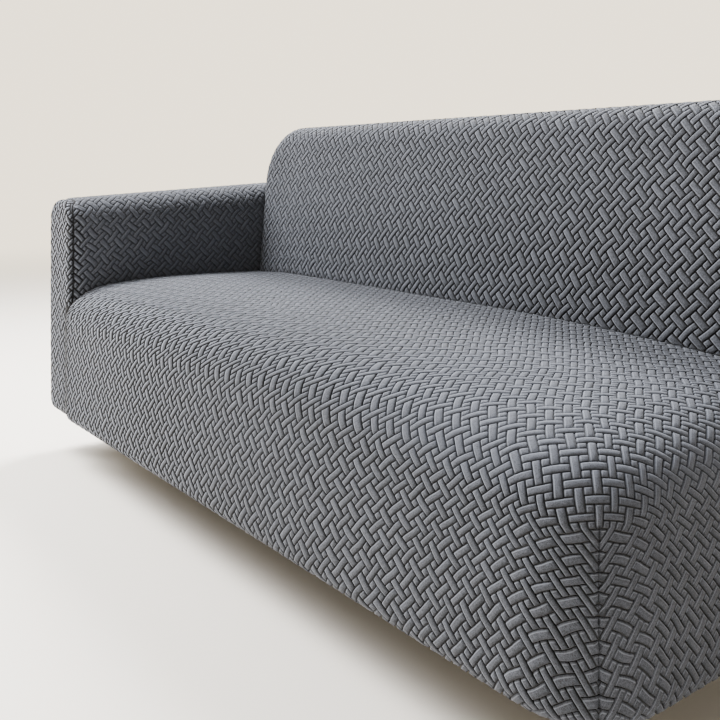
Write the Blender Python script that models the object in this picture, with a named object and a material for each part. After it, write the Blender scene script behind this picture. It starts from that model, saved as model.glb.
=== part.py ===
"""Sofa slipcover: five sewn pieces of stretch cloth, hollow underneath."""
import bmesh
import bpy
from mathutils import Vector
import numpy as np
from math import pi

# Sizes in metres. x runs from the arm's outer side, y from the arm's front, z from the hem.
ARM_W = 0.154            # width of the arm
ARM_Z = 0.556            # arm height at the front
ARM_RISE = 0.060         # rise of the arm top per metre towards the rear
ARM_R = 0.050            # rounding along the arm's top edges
ARM_CROWN = 0.004        # padding over the arm's top
EDGE_OUT = 0.022         # rounding of the arm front at its top and outer edge
EDGE_IN = 0.006          # and at its inner edge
EDGE_LOW = 0.003         # and there below the seat
END_X = 1.822            # seat and back end
REAR_Y = 0.800           # outside of the back
FRONT_Y = -0.013         # seat front
SEAT_Z = 0.344           # seat height where it meets arm and back
SEAT_R = 0.140           # how far the rounding of the seat's edge reaches in
SEAT_RZ = 0.085          # and down
SEAT_POW = 2.6           # squareness of that rounding
CREASE_Y = 0.553         # where seat and back meet
BACK_X = 0.132           # left end of the back, over the arm
BACK_Z = 0.756           # top of the back
BACK_LEAN = 0.041        # how far the back leans over its height
BACK_R = 0.150           # its corners seen from the front
BACK_EDGE = 0.050        # rounding of its front edge
REAR_EDGE = 0.020        # rounding of the rear edges
ROLL_ON = 0.004          # a rolled edge runs on this far past its quarter turn
HEM_R = 0.035            # turn-in of the hem
HEM_TURN = pi / 3
SEAT_DART = (0.180, 0.545)             # where the corner seam starts, and its share of the way round
BACK_DART = (0.200, 0.5)
EVEN = 0.08              # past its start the cloth spreads evenly over this length
DART_DIP = 0.0025        # how far those seams pull in
DART_WIDE = 0.008        # and over what width
CUSHION = 0.30           # height of the seat's swell

# Padding
SEAT_RISE = 0.009        # the seat rises this much away from the arm
SEAT_FALL = 0.034        # and falls towards its free end
FALL_FROM, FALL_LONG = 1.10, 0.725
SEAT_SLOPE = 0.016       # and falls towards its front
SLOPE_FROM = 0.30
SEAT_CROWN = (0.004, 0.009)            # crown from front to rear, at the arm and past it
SEAT_BELLY = 0.010       # swell of the front drop
END_BELLY = 0.006        # swell of the end drop
TUCK = 0.0145            # how far the front drop is drawn in beside the arm
TUCK_WIDE = 0.016
ARM_BELLY = 0.004        # swell of the arm's outer side
BACK_BELLY = 0.010       # swell of the inside back
PAD_RUN = 0.50           # a swell grows over this length
BACK_RUN = 0.30

# Cloth
SHEET = 0.0025           # thickness of the cloth
GAP = 0.0014             # between neighbouring pieces
CLOSE = 0.0004           # between the seat and the arm
LOWER = 0.003            # how far a sheet runs on behind its neighbour in a crease
SNAP = 0.12              # a cut this near a grid point moves the point instead
WELD = 0.00008
HEM_ROW = 0.006          # last row of faces along a cut edge
ROUGH = 0.9
GREY = (0.17, 0.18, 0.20)

HEM_UP = HEM_R * np.sin(HEM_TURN)
SEAT_REAR = CREASE_Y + BACK_EDGE          # where the seat's end drop meets the back's end
SEAM_Y = REAR_Y - REAR_EDGE - ROLL_ON     # seam of the outside back
SEAT_CX, SEAT_CY = END_X - SEAT_R, FRONT_Y + SEAT_R
BACK_CZ = BACK_Z - BACK_R
BACK_CL, BACK_CR = BACK_X + BACK_R, END_X - BACK_R
PLACE = -np.array([(END_X + END_BELLY - ARM_BELLY) / 2, (FRONT_Y - SEAT_BELLY + REAR_Y) / 2, 0.0])


def smooth(a, b, x):
    t = np.clip((x - a) / (b - a), 0, 1)
    return t * t * (3 - 2 * t)


def bow(x, a, b):
    """Half a sine from a to b, nought outside."""
    return np.sin(np.clip((x - a) / (b - a), 0, 1) * pi)


def table(rows):
    rows = np.array(rows)
    step = np.linalg.norm(np.diff(rows, axis=0), axis=1)
    return np.concatenate([[0], np.cumsum(step)]), rows


def look(tab, t):
    return [np.interp(t, tab[0], tab[1][:, k]) for k in range(tab[1].shape[1])]


def hem_in(z):
    """How far the hem has turned in at height z."""
    s = np.clip((HEM_UP - z) / HEM_R, 0, 0.99)
    return HEM_R * (1 - np.sqrt(1 - s * s))


def hem_drop(v):
    """Height of a point that lies at v on the flat sheet (v = 0 is the flat hem line)."""
    down = np.clip(HEM_R * HEM_TURN - v, 0, HEM_R * HEM_TURN)
    return np.where(v < HEM_R * HEM_TURN, HEM_UP - HEM_R * np.sin(down / HEM_R), v - HEM_R * HEM_TURN + HEM_UP)


HEM_LONG = HEM_R * HEM_TURN - HEM_UP      # what the turn-in adds to a drop


def corner(a, b, dart):
    """Flat offsets past a corner -> share of the way round its arc and length along its profile."""
    a, b = np.maximum(a, 0), np.maximum(b, 0)
    start, place = dart
    edge = start / np.sqrt(2)
    rho, turn = np.hypot(a, b), np.arctan2(a, b) / (pi / 4)
    near = np.where(turn <= 1, turn * place, 1 - (2 - turn) * (1 - place))
    af, bf = np.clip(a, 0, edge), np.clip(b, 0, edge)
    t1 = start + b - np.sqrt(start ** 2 - af ** 2)
    t2 = start + a - np.sqrt(start ** 2 - bf ** 2)

    def share(d, t):
        even = smooth(start, start + EVEN, t)
        return even * d / edge + (1 - even) * np.arcsin(d / start) / (pi / 4)
    far, first = rho > start, b >= a
    s = np.where(first, share(af, t1) * place, 1 - share(bf, t2) * (1 - place))
    return np.where(far, s, near), np.where(far, np.where(first, t1, t2), rho)


def dart_gap(a, b, dart):
    """Flat distance from the corner seam (large where there is none)."""
    edge = dart[0] / np.sqrt(2)
    return np.where((a > 0) & (b > 0) & (np.maximum(a, b) > edge), edge - np.minimum(a, b), 1.0)


def dart_dip(a, b, dart, t):
    """How far the corner seam pulls the cloth in, growing from where the seam starts."""
    return DART_DIP * np.clip(1 - dart_gap(a, b, dart) / DART_WIDE, 0, 1) ** 2 * smooth(dart[0], dart[0] + 0.06, t)


# ---------------------------------------------------------------- seat
def seat_rows():
    rows = []
    for b in np.linspace(pi / 2, 0, 80):
        rows.append((SEAT_R * max(np.cos(b), 0) ** (2 / SEAT_POW) if b < pi / 2 else 0.0,
                     SEAT_Z - SEAT_RZ + SEAT_RZ * np.sin(b) ** (2 / SEAT_POW)))
    rows += [(SEAT_R, z) for z in np.linspace(SEAT_Z - SEAT_RZ, HEM_UP, 20)[1:]]
    rows += [(SEAT_R - HEM_R * (1 - np.cos(s)), HEM_UP - HEM_R * np.sin(s)) for s in np.linspace(0, HEM_TURN, 12)[1:]]
    return table(rows)


def arc_rows():
    """The seat's corner seen from above: share of its length, and place."""
    turn = np.linspace(0, pi / 2, 3000)
    x, y = np.sin(turn) ** (2 / SEAT_POW), np.cos(turn).clip(0) ** (2 / SEAT_POW)
    s = np.concatenate([[0], np.cumsum(np.hypot(np.diff(x), np.diff(y)))])
    return s / s[-1], x, y


SEAT_ARC = arc_rows()
SEAT_TAB = seat_rows()
SEAT_DROP = SEAT_TAB[0][-1]


def seat_pad(p):
    """Padding: the crown of the seat, its belly and its tuck against the arm."""
    x, y, z = p[..., 0], p[..., 1], p[..., 2]
    past = smooth(ARM_W, ARM_W + PAD_RUN, x)
    over = smooth(ARM_W, ARM_W + 0.20, x) * SEAT_RISE - SEAT_FALL * np.clip((x - FALL_FROM) / FALL_LONG, 0, None) ** 2
    over = over + (SEAT_CROWN[0] * (1 - past) + SEAT_CROWN[1] * past) * bow(y, 0, CREASE_Y)
    over = over - SEAT_SLOPE * np.clip((SLOPE_FROM - y) / SLOPE_FROM, 0, 1) ** 2
    front = smooth(SEAT_CY, FRONT_Y, y)
    belly = SEAT_BELLY * bow(z, 0, CUSHION) * past
    tuck = TUCK * np.clip(1 - (x - ARM_W - CLOSE) / TUCK_WIDE, 0, 1) ** 2
    side = END_BELLY * bow(z, 0, CUSHION) * smooth(SEAT_CX, END_X, x) * smooth(SEAT_REAR, SEAT_REAR / 2, y)
    return np.stack([side, (tuck - belly) * front, over * smooth(0.10, SEAT_Z - 0.02, z)], -1)


def seat(u, v):
    u, v = np.asarray(u, float), np.asarray(v, float)
    a, b = u - SEAT_CX, SEAT_CY - v
    s, t = corner(a, b, SEAT_DART)
    rho, z = look(SEAT_TAB, t)
    rho = rho - dart_dip(a, b, SEAT_DART, t)
    own = smooth(0, SEAT_R, t)
    ex = own * np.interp(s, SEAT_ARC[0], SEAT_ARC[1]) + (1 - own) * np.sin(s * pi / 2)
    ey = own * np.interp(s, SEAT_ARC[0], SEAT_ARC[2]) + (1 - own) * np.cos(s * pi / 2)
    p = np.stack([np.where(a > 0, SEAT_CX + rho * ex, u), np.where(b > 0, SEAT_CY - rho * ey, v), z], -1)
    return p + seat_pad(p)


def unpad(p, pad):
    q = p - pad(p)
    return p - pad(q)


def seat_clear(p):
    """About how far a point lies outside the seat block."""
    q = unpad(p, seat_pad)

    def f(q):
        x = np.clip(q[..., 0] - SEAT_CX, 0, None) / SEAT_R
        y = np.clip(SEAT_CY - q[..., 1], 0, None) / SEAT_R
        z = np.clip(q[..., 2] - SEAT_Z + SEAT_RZ, 0, None) / SEAT_RZ
        return (x ** SEAT_POW + y ** SEAT_POW + z ** SEAT_POW) ** (1 / SEAT_POW) - 1
    h = 1e-5
    grad = np.stack([(f(q + h * e) - f(q - h * e)) / (2 * h) for e in np.eye(3)], -1)
    d = f(q) / np.maximum(np.linalg.norm(grad, axis=-1), 1.0)
    return np.maximum(d, q[..., 1] - SEAT_REAR)


# ---------------------------------------------------------------- arm
ARM_MID = ARM_W / 2
ARM_FLAT = ARM_MID - ARM_R
ARM_TURN = ARM_R * pi / 2


def arm_top(y):
    return ARM_Z + ARM_RISE * y


def arm_belly(x, z):
    return smooth(0.03, 0.0, x) * ARM_BELLY * bow(z, 0.02, 0.5)


def arm_pad(p):
    x, y, z = p[..., 0], p[..., 1], p[..., 2]
    return np.stack([-arm_belly(x, z), 0 * y, ARM_CROWN * bow(x, 0, ARM_W) * smooth(0.42, 0.55, z)], -1)


def arm(u, v):
    """u runs from front to rear, v round the arm from its top: inner side below nought."""
    u, v = np.asarray(u, float), np.asarray(v, float)
    sign, t = np.where(v < 0, 1.0, -1.0), np.abs(v)
    phi = np.clip((t - ARM_FLAT) / ARM_R, 0, pi / 2)
    side = np.clip(t - ARM_FLAT - ARM_TURN, 0, None)
    low = hem_drop(np.where(side > 0, arm_top(u) - ARM_R - side + HEM_LONG, 1.0))
    z = np.where(side > 0, low, arm_top(u) - ARM_R + ARM_R * np.cos(phi))
    h = np.minimum(t, ARM_FLAT) + ARM_R * np.sin(phi) - np.where(side > 0, hem_in(z), 0.0)
    p = np.stack([ARM_MID + sign * h, u, z], -1)
    return p + arm_pad(p)


def arm_clear(p):
    q = unpad(p, arm_pad)
    return np.maximum(arm_outline(q[..., 0], q[..., 2], q[..., 1]), -q[..., 1])


def edge_r(gx, z):
    """Rounding of the arm front's edge: gx is how much the edge faces the seat."""
    inner = smooth(0.2, 0.9, gx)
    low = smooth(SEAT_Z - 0.05, SEAT_Z, z)
    return EDGE_OUT * (1 - inner) + inner * (EDGE_LOW + (EDGE_IN - EDGE_LOW) * low)


def arm_seam(v, z):
    """Where the arm front's seam lies, for a point round the arm."""
    phi = np.clip((np.abs(v) - ARM_FLAT) / ARM_R, 0, pi / 2)
    return edge_r(np.where(v < 0, np.sin(phi), -np.sin(phi)), z) + ROLL_ON


def arm_outline(x, z, y=0.0):
    """Distance outside the arm's section."""
    a = np.abs(x - ARM_MID) - ARM_FLAT
    b = z - (arm_top(y) - ARM_R)
    return np.hypot(np.maximum(a, 0), np.maximum(b, 0)) + np.minimum(np.maximum(a, b), 0) - ARM_R


def rolled(u, v, outline, r_of):
    """A flat piece whose edge is rolled back. Returns x, depth, z and how far inside its seam."""
    x, z = np.asarray(u, float), hem_drop(np.asarray(v, float))
    out, h = outline(x, z), 1e-4
    gx = outline(x + h, z) - outline(x - h, z)
    gz = outline(x, z + h) - outline(x, z - h)
    n = np.maximum(np.hypot(gx, gz), 1e-12)
    gx, gz = gx / n, gz / n
    r = r_of(gx, z)
    turn = np.clip((out + r) / r, 0, pi / 2)
    hem = hem_in(z)
    h = np.minimum(hem, r)
    move = (r - h) * np.sin(turn) - np.clip(out + r, 0, None)
    end = r * (pi / 2 - 1) - out
    depth = hem - h + r - (r - h) * np.cos(turn) + np.clip(-end, 0, None)
    return x + gx * move, depth, z + gz * move, end + ROLL_ON


def front_inside(u, v):
    return rolled(u, v, arm_outline, edge_r)[3]


def front(u, v):
    """u across from the outer side, v up."""
    x, y, z, _ = rolled(u, v, arm_outline, edge_r)
    p = np.stack([x, y, z + ARM_RISE * y * smooth(0.1, ARM_Z, z)], -1)
    return p + arm_pad(p)


# ---------------------------------------------------------------- back
def back_rows():
    rows = [(0.0, 0.0), (BACK_R - BACK_EDGE, 0.0)]
    rows += [(BACK_R - BACK_EDGE + BACK_EDGE * np.sin(s), BACK_EDGE * (1 - np.cos(s))) for s in np.linspace(0, pi / 2, 24)[1:]]
    rows += [(BACK_R, SEAM_Y - CREASE_Y)]
    return table(rows)


BACK_TAB = back_rows()
BACK_LONG = BACK_TAB[0][-1]


def lean(z):
    return BACK_LEAN * np.clip((z - SEAT_Z) / (BACK_Z - SEAT_Z), 0, 1)


def back_pad(p):
    x, y, z = p[..., 0], p[..., 1], p[..., 2]
    share = np.clip((SEAM_Y - y) / (SEAM_Y - CREASE_Y), 0, 1)
    belly = BACK_BELLY * bow(z, SEAT_Z - 0.05, BACK_Z) * smooth(BACK_X, BACK_X + BACK_RUN, x) * smooth(END_X, END_X - BACK_RUN, x)
    return np.stack([0 * x, (lean(z) - belly) * share, 0 * z], -1)


def back(u, v):
    u, v = np.asarray(u, float), np.asarray(v, float)
    left = u < (BACK_CL + BACK_CR) / 2
    a = np.where(left, BACK_CL - u, u - BACK_CR)
    b = v - BACK_CZ
    s, t = corner(a, b, BACK_DART)
    rho, depth = look(BACK_TAB, t)
    low = np.where(b > 0, 1.0, v)
    z = hem_drop(low + HEM_LONG)
    hem = np.where(b > 0, 0.0, hem_in(z))
    rho = rho - hem
    rho = rho - dart_dip(a, b, BACK_DART, t)
    ex, ez = np.sin(s * pi / 2), np.cos(s * pi / 2)
    x = np.where(a > 0, np.where(left, BACK_CL - rho * ex, BACK_CR + rho * ex), u)
    p = np.stack([x, CREASE_Y + depth, np.where(b > 0, BACK_CZ + rho * ez, z)], -1)
    return p + back_pad(p)


def back_outline(x, z):
    a = np.abs(x - (BACK_X + END_X) / 2) - (END_X - BACK_X) / 2 + BACK_R
    b = z - BACK_CZ
    return np.hypot(np.maximum(a, 0), np.maximum(b, 0)) + np.minimum(np.maximum(a, b), 0) - BACK_R


def back_clear(p):
    q = unpad(p, back_pad)
    out = back_outline(q[..., 0], q[..., 2])
    near = -1.0
    for r, f in ((BACK_EDGE, CREASE_Y - q[..., 1]), (REAR_EDGE, q[..., 1] - REAR_Y)):
        e, f = out + r, f + r
        near = np.maximum(near, np.hypot(np.maximum(e, 0), np.maximum(f, 0)) + np.minimum(np.maximum(e, f), 0) - r)
    return near


# ---------------------------------------------------------------- outside back
def rear_outline(x, z):
    top = z - ARM_CROWN * bow(x, 0, ARM_W)
    return np.minimum(arm_outline(x, top, SEAM_Y), back_outline(x, z))


def rear_r(gx, z):
    return np.full_like(z, REAR_EDGE)


def rear_inside(u, v):
    return rolled(u, v, rear_outline, rear_r)[3]


def rear(u, v):
    x, y, z, _ = rolled(u, v, rear_outline, rear_r)
    return np.stack([x - arm_belly(x, z), REAR_Y - y, z], -1)


# ---------------------------------------------------------------- sheets
def grid(us, vs, keep=None):
    """Points and triangles of a grid of flat lines; keep says which cells stay."""
    us, vs = np.array(us), np.array(vs)
    uu, vv = np.meshgrid(us, vs, indexing="ij")
    flat = np.stack([uu.ravel(), vv.ravel()], -1)
    i, j = np.meshgrid(np.arange(len(us) - 1), np.arange(len(vs) - 1), indexing="ij")
    a = (i * len(vs) + j).ravel()
    b = a + len(vs)
    quads = np.stack([a, b, b + 1, a + 1], -1)
    if keep is not None:
        mid = flat[quads].mean(axis=1)
        quads = quads[keep(mid[:, 0], mid[:, 1])]
    return flat, np.concatenate([quads[:, [0, 1, 2]], quads[:, [0, 2, 3]]])


def cut(flat, tris, field):
    """Keep the side of the flat sheet where field is above nought, cut along its zero line."""
    flat = flat.copy()
    f = field(flat[:, 0], flat[:, 1])
    pairs = np.concatenate([tris[:, [0, 1]], tris[:, [1, 2]], tris[:, [2, 0]]])
    pairs = np.concatenate([pairs, pairs[:, ::-1]])
    pairs = pairs[f[pairs[:, 0]] * f[pairs[:, 1]] < 0]
    share = f[pairs[:, 0]] / (f[pairs[:, 0]] - f[pairs[:, 1]])
    near = share < SNAP
    flat0 = flat.copy()
    for (p, q), part in zip(pairs[near], share[near]):
        if f[p] != 0:
            flat[p] = flat0[p] + part * (flat0[q] - flat0[p])
            f[p] = 0
    inside = f >= 0
    count = inside[tris].sum(axis=1)
    some = (f[tris] > 0).any(axis=1)
    out = [tris[(count == 3) & some]]
    new, made = [], {}

    def split(p, q):
        key = (min(p, q), max(p, q))
        if key not in made:
            lo, hi = flat[p], flat[q]
            for _ in range(30):
                mid = (lo + hi) / 2
                if (field(mid[:1], mid[1:])[0] > 0) == bool(f[p] > 0):
                    lo = mid
                else:
                    hi = mid
            made[key] = len(flat) + len(new)
            new.append((lo + hi) / 2)
        return made[key]
    extra = []
    for tri in tris[(count < 3) & some]:
        ring = []
        for k in range(3):
            p, q = int(tri[k]), int(tri[(k + 1) % 3])
            if inside[p]:
                ring.append(p)
            if f[p] * f[q] < 0:
                ring.append(split(p, q))
        extra += [[ring[0], ring[k], ring[k + 1]] for k in range(1, len(ring) - 1)]
    if new:
        flat = np.concatenate([flat, np.array(new)])
    if extra:
        out.append(np.array(extra))
    return flat, np.concatenate(out)


def score(flat, tris, field):
    """Put a line of edges along the zero line of field and keep both sides."""
    one, two = cut(flat, tris, field), cut(flat, tris, lambda u, v: -field(u, v))
    return np.concatenate([one[0], two[0]]), np.concatenate([one[1], two[1] + len(one[0])])


def steps(*stops):
    """Lines from stop to stop: value, count, value, count, value ..."""
    line = [stops[0]]
    for k in range(1, len(stops), 2):
        line += list(np.linspace(line[-1], stops[k + 1], stops[k] + 1)[1:])
    return line


def cloth(name, flat, tris, form, flip=False):
    """Lay the flat sheet on its form, join its corner seams and give it thickness."""
    mesh = bpy.data.meshes.new(name)
    pts = form(flat[:, 0], flat[:, 1]) + PLACE
    mesh.from_pydata(pts.tolist(), [], tris.tolist())
    bm = bmesh.new()
    bm.from_mesh(mesh)
    bmesh.ops.remove_doubles(bm, verts=bm.verts, dist=WELD)
    bmesh.ops.dissolve_degenerate(bm, edges=bm.edges, dist=WELD)
    bmesh.ops.delete(bm, geom=[v for v in bm.verts if not v.link_faces], context="VERTS")
    if flip:
        bmesh.ops.reverse_faces(bm, faces=bm.faces)
    bm.normal_update()
    outer, faces = list(bm.verts), list(bm.faces)
    rim = [e for e in bm.edges if e.is_boundary]
    inner = {}
    for v in outer:
        lean_of = sum((f.normal * f.calc_area() for f in v.link_faces), Vector())
        inner[v] = bm.verts.new(v.co - lean_of.normalized() * SHEET)
    for face in faces:
        bm.faces.new([inner[v] for v in reversed(face.verts)])
    for e in rim:
        p, q = [loop.vert for loop in e.link_loops[0].face.loops if loop.edge == e or loop.link_loop_prev.edge == e]
        if e.link_loops[0].vert != p:
            p, q = q, p
        bm.faces.new([q, p, inner[p], inner[q]])
    bm.to_mesh(mesh)
    bm.free()
    obj = bpy.data.objects.new(name, mesh)
    parts.objects.link(obj)
    mat = bpy.data.materials.new(name)
    mat.use_nodes = True
    shader = mat.node_tree.nodes["Principled BSDF"]
    shader.inputs["Base Color"].default_value = (*GREY, 1)
    shader.inputs["Roughness"].default_value = ROUGH
    mesh.materials.append(mat)


for old in list(bpy.data.objects):
    bpy.data.objects.remove(old)
parts = bpy.data.collections.new("parts")
bpy.context.scene.collection.children.link(parts)

# seat panel: top, front drop and end drop in one, with the corner seam
edge = SEAT_DART[0] / np.sqrt(2)
drop = steps(0, 6, edge - 0.008, 2, edge, 4, 0.20, 5, SEAT_DROP - 0.045, 4, SEAT_DROP - HEM_ROW, 1, SEAT_DROP + 0.01)
us = steps(ARM_W + CLOSE, 4, ARM_W + 0.012, 1, ARM_W + 0.05, 10, SEAT_CX)[:-1] + [SEAT_CX + d for d in drop]
vs = [SEAT_CY - d for d in reversed(drop)] + steps(SEAT_CY, 7, CREASE_Y - 0.05, 5, SEAT_REAR - GAP / 2)[1:]
flat, tris = grid(us, vs, lambda u, v: ~((u - SEAT_CX > edge) & (SEAT_CY - v > edge)))
flat, tris = cut(flat, tris, lambda u, v: SEAT_DROP - corner(u - SEAT_CX, SEAT_CY - v, SEAT_DART)[1])


def seat_crease(u, v):
    p = seat(u, v)
    return np.where(p[..., 2] < SEAT_Z / 2, 1.0, back_clear(p) - GAP * (0.2 + 0.8 * smooth(0, 0.02, END_X - p[..., 0])))


flat, tris = cut(flat, tris, seat_crease)
cloth("seat_panel", flat, tris, seat)

# back panel: inside back, over the top and round both ends to the seam of the outside back
edge = BACK_DART[0] / np.sqrt(2)
roll = BACK_R - BACK_EDGE
band = steps(0, 2, 0.07, 5, edge - 0.004, 1, edge, 3, roll + BACK_EDGE * pi / 2, 3, BACK_LONG - 0.05, 1, BACK_LONG - HEM_ROW, 1, BACK_LONG + 0.004)
us = [BACK_CL - d for d in reversed(band)] + steps(BACK_CL, 9, BACK_CR)[1:-1] + [BACK_CR + d for d in band]
low = -HEM_LONG
vs = steps(low, 3, 0.03, 3, SEAT_Z - 0.10, 2, SEAT_Z - 0.02, 2, SEAT_Z + 0.03, 6, BACK_CZ)[:-1] + [BACK_CZ + d for d in band]


def back_keep(u, v):
    left, right, up = BACK_CL - u > edge, u - BACK_CR > edge, v - BACK_CZ > edge
    low = (v < SEAT_Z - 0.12) & (u < END_X - 0.10)
    return ~((left | right) & up) & ~low & ~((v < SEAT_Z - 0.02) & (u < ARM_W))


def back_end(u, v):
    return BACK_LONG - GAP / 2 - corner(np.maximum(BACK_CL - u, u - BACK_CR), v - BACK_CZ, BACK_DART)[1]


flat, tris = grid(us, vs, back_keep)
flat, tris = cut(flat, tris, back_end)
flat, tris = cut(flat, tris, lambda u, v: arm_clear(back(u, v)) - GAP)
flat, tris = cut(flat, tris, lambda u, v: seat_clear(back(u, v)) - GAP / 2)
cloth("back_panel", flat, tris, back)

# arm panel: inner side, top and outer side
side = ARM_FLAT + ARM_TURN
tall = side + arm_top(SEAM_Y) - ARM_R + HEM_LONG
vs = steps(-side - 0.30, 6, -side, 6, -ARM_FLAT, 3, ARM_FLAT, 6, side, 7, tall - 0.075, 6, tall)
us = steps(EDGE_IN + GAP, 1, EDGE_OUT + GAP, 8, CREASE_Y + 0.01, 3, SEAM_Y - GAP / 2)
flat, tris = grid(us, vs)


def arm_rows(u, v):
    short = ARM_FLAT + ARM_TURN + arm_top(u) - ARM_R + HEM_LONG
    return short - v


def arm_start(u, v):
    return u - arm_seam(v, arm(u, v)[..., 2]) - GAP / 2


def arm_low(u, v):
    p = arm(u, v)
    p[..., 0] = ARM_W + GAP
    return np.where(v < 0, seat_clear(p) + LOWER, 1.0)


for field in (arm_rows, arm_start, arm_low, lambda u, v: back_clear(arm(u, v)) + LOWER):
    flat, tris = cut(flat, tris, field)
cloth("arm_panel", flat, tris, arm)

# arm front
wide = EDGE_OUT * (pi / 2 - 1) + ROLL_ON
us = steps(-wide, 5, EDGE_OUT, 2, 0.055, 3, 0.10, 3, 0.135, 4, ARM_W - GAP)
us = us + [ARM_W + EDGE_IN * (pi / 2 - 1) + ROLL_ON]
tall = ARM_Z + HEM_LONG
vs = steps(0, 4, 0.04, 4, tall - 0.12, 5, tall - 0.05, 7, tall + wide)
flat, tris = grid(us, vs)
flat, tris = score(flat, tris, lambda u, v: front_inside(u, v) - ROLL_ON)


def front_turn(u, v):
    """The inner edge is rolled only where the arm stands clear of the seat."""
    p = front(u, v)
    past = ARM_W - GAP / 2 - p[..., 0]
    p[..., 0] = ARM_W + GAP
    return np.maximum(past, np.where(v < SEAT_Z / 2, -1.0, seat_clear(p)) + LOWER)


for field in (lambda u, v: front_inside(u, v) - GAP / 2, front_turn):
    flat, tris = cut(flat, tris, field)
cloth("arm_front", flat, tris, front)

# outside back
wide = REAR_EDGE * (pi / 2 - 1) + ROLL_ON
us = steps(-wide, 4, REAR_EDGE, 1, ARM_FLAT + 0.03, 3, BACK_X - wide, 4, BACK_X + REAR_EDGE, 5, BACK_CL, 6, BACK_CR, 5, END_X - REAR_EDGE, 4, END_X + wide)
tall = arm_top(SEAM_Y) + HEM_LONG
vs = steps(0, 4, 0.04, 5, tall - 0.06, 2, tall - REAR_EDGE, 4, tall + wide + 0.004, 2, BACK_CZ + 0.06, 4, BACK_Z - REAR_EDGE, 4, BACK_Z + HEM_LONG + wide)
flat, tris = grid(us, vs, lambda u, v: ~((u < BACK_X - wide - 0.001) & (v > tall + wide + 0.003)))
flat, tris = score(flat, tris, lambda u, v: rear_inside(u, v) - ROLL_ON)
flat, tris = cut(flat, tris, lambda u, v: rear_inside(u, v) - GAP / 2)
cloth("outside_back", flat, tris, rear, flip=True)
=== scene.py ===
"""A fitted stretch sofa slipcover with a raised basket weave."""
from math import pi
import bpy
from bpy.props import FloatProperty, FloatVectorProperty, PointerProperty
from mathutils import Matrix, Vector
from mathutils.geometry import delaunay_2d_cdt
from mathutils.kdtree import KDTree
import numpy as np


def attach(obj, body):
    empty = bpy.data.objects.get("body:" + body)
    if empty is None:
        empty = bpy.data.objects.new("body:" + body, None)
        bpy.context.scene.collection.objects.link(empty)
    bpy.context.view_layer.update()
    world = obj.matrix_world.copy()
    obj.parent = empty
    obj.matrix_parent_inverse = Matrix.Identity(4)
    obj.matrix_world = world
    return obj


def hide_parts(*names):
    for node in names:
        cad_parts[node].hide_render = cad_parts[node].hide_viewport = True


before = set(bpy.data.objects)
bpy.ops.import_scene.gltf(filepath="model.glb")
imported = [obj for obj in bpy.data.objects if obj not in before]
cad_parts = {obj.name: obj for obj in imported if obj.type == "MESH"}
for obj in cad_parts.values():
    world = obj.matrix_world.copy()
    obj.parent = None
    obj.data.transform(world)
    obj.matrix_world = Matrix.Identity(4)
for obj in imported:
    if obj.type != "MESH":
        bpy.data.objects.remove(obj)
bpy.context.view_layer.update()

bl_info = {
    "name": "Sofa slipcover",
    "version": (1, 0),
    "blender": (4, 5, 0),
    "location": "3D View > Sidebar > Slipcover",
    "description": "Makes a fitted stretch slipcover with a raised basket weave, and its studio",
    "category": "Mesh",
}

# Sizes in metres. x runs from the arm's outer side, y from the arm's front, z from the hem.
ARM_W = 0.154            # width of the arm
ARM_Z = 0.556            # arm height at the front
ARM_RISE = 0.060         # rise of the arm top per metre towards the rear
ARM_R = 0.050            # rounding along the arm's top edges
ARM_CROWN = 0.004        # padding over the arm's top
EDGE_OUT = 0.022         # rounding of the arm front at its top and outer edge
EDGE_IN = 0.006          # and at its inner edge
EDGE_LOW = 0.003         # and there below the seat
EDGE_RUN = 0.05          # height over which that rounding changes
EDGE_FACES = 0.2, 0.9    # how much an edge faces the seat, as it turns from outer to inner
RISE_FROM = 0.1          # the arm front's rise begins at this height
END_X = 1.822            # seat and back end
REAR_Y = 0.800           # outside of the back
FRONT_Y = -0.013         # seat front
SEAT_Z = 0.344           # seat height where it meets arm and back
SEAT_R = 0.140           # how far the rounding of the seat's edge reaches in
SEAT_RZ = 0.085          # and down
SEAT_POW = 2.6           # squareness of that rounding
CREASE_Y = 0.553         # where seat and back meet
BACK_X = 0.132           # left end of the back, over the arm
BACK_Z = 0.756           # top of the back
BACK_LEAN = 0.041        # how far the back leans over its height
BACK_R = 0.150           # its corners seen from the front
BACK_EDGE = 0.050        # rounding of its front edge
REAR_EDGE = 0.020        # rounding of the rear edges
ROLL_ON = 0.004          # a rolled edge runs on this far past its quarter turn
HEM_R = 0.035            # turn-in of the hem
HEM_TURN = pi / 3
SEAT_DART = (0.180, 0.545)             # where the corner seam starts, and its share of the way round
BACK_DART = (0.200, 0.5)
EVEN = 0.08              # past its start the cloth spreads evenly over this length
DART_DIP = 0.0025        # how far those seams pull in
DART_WIDE = 0.008        # and over what width
DART_GROWS = 0.06        # length over which they sink to that depth
CUSHION = 0.30           # height of the seat's swell

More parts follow.
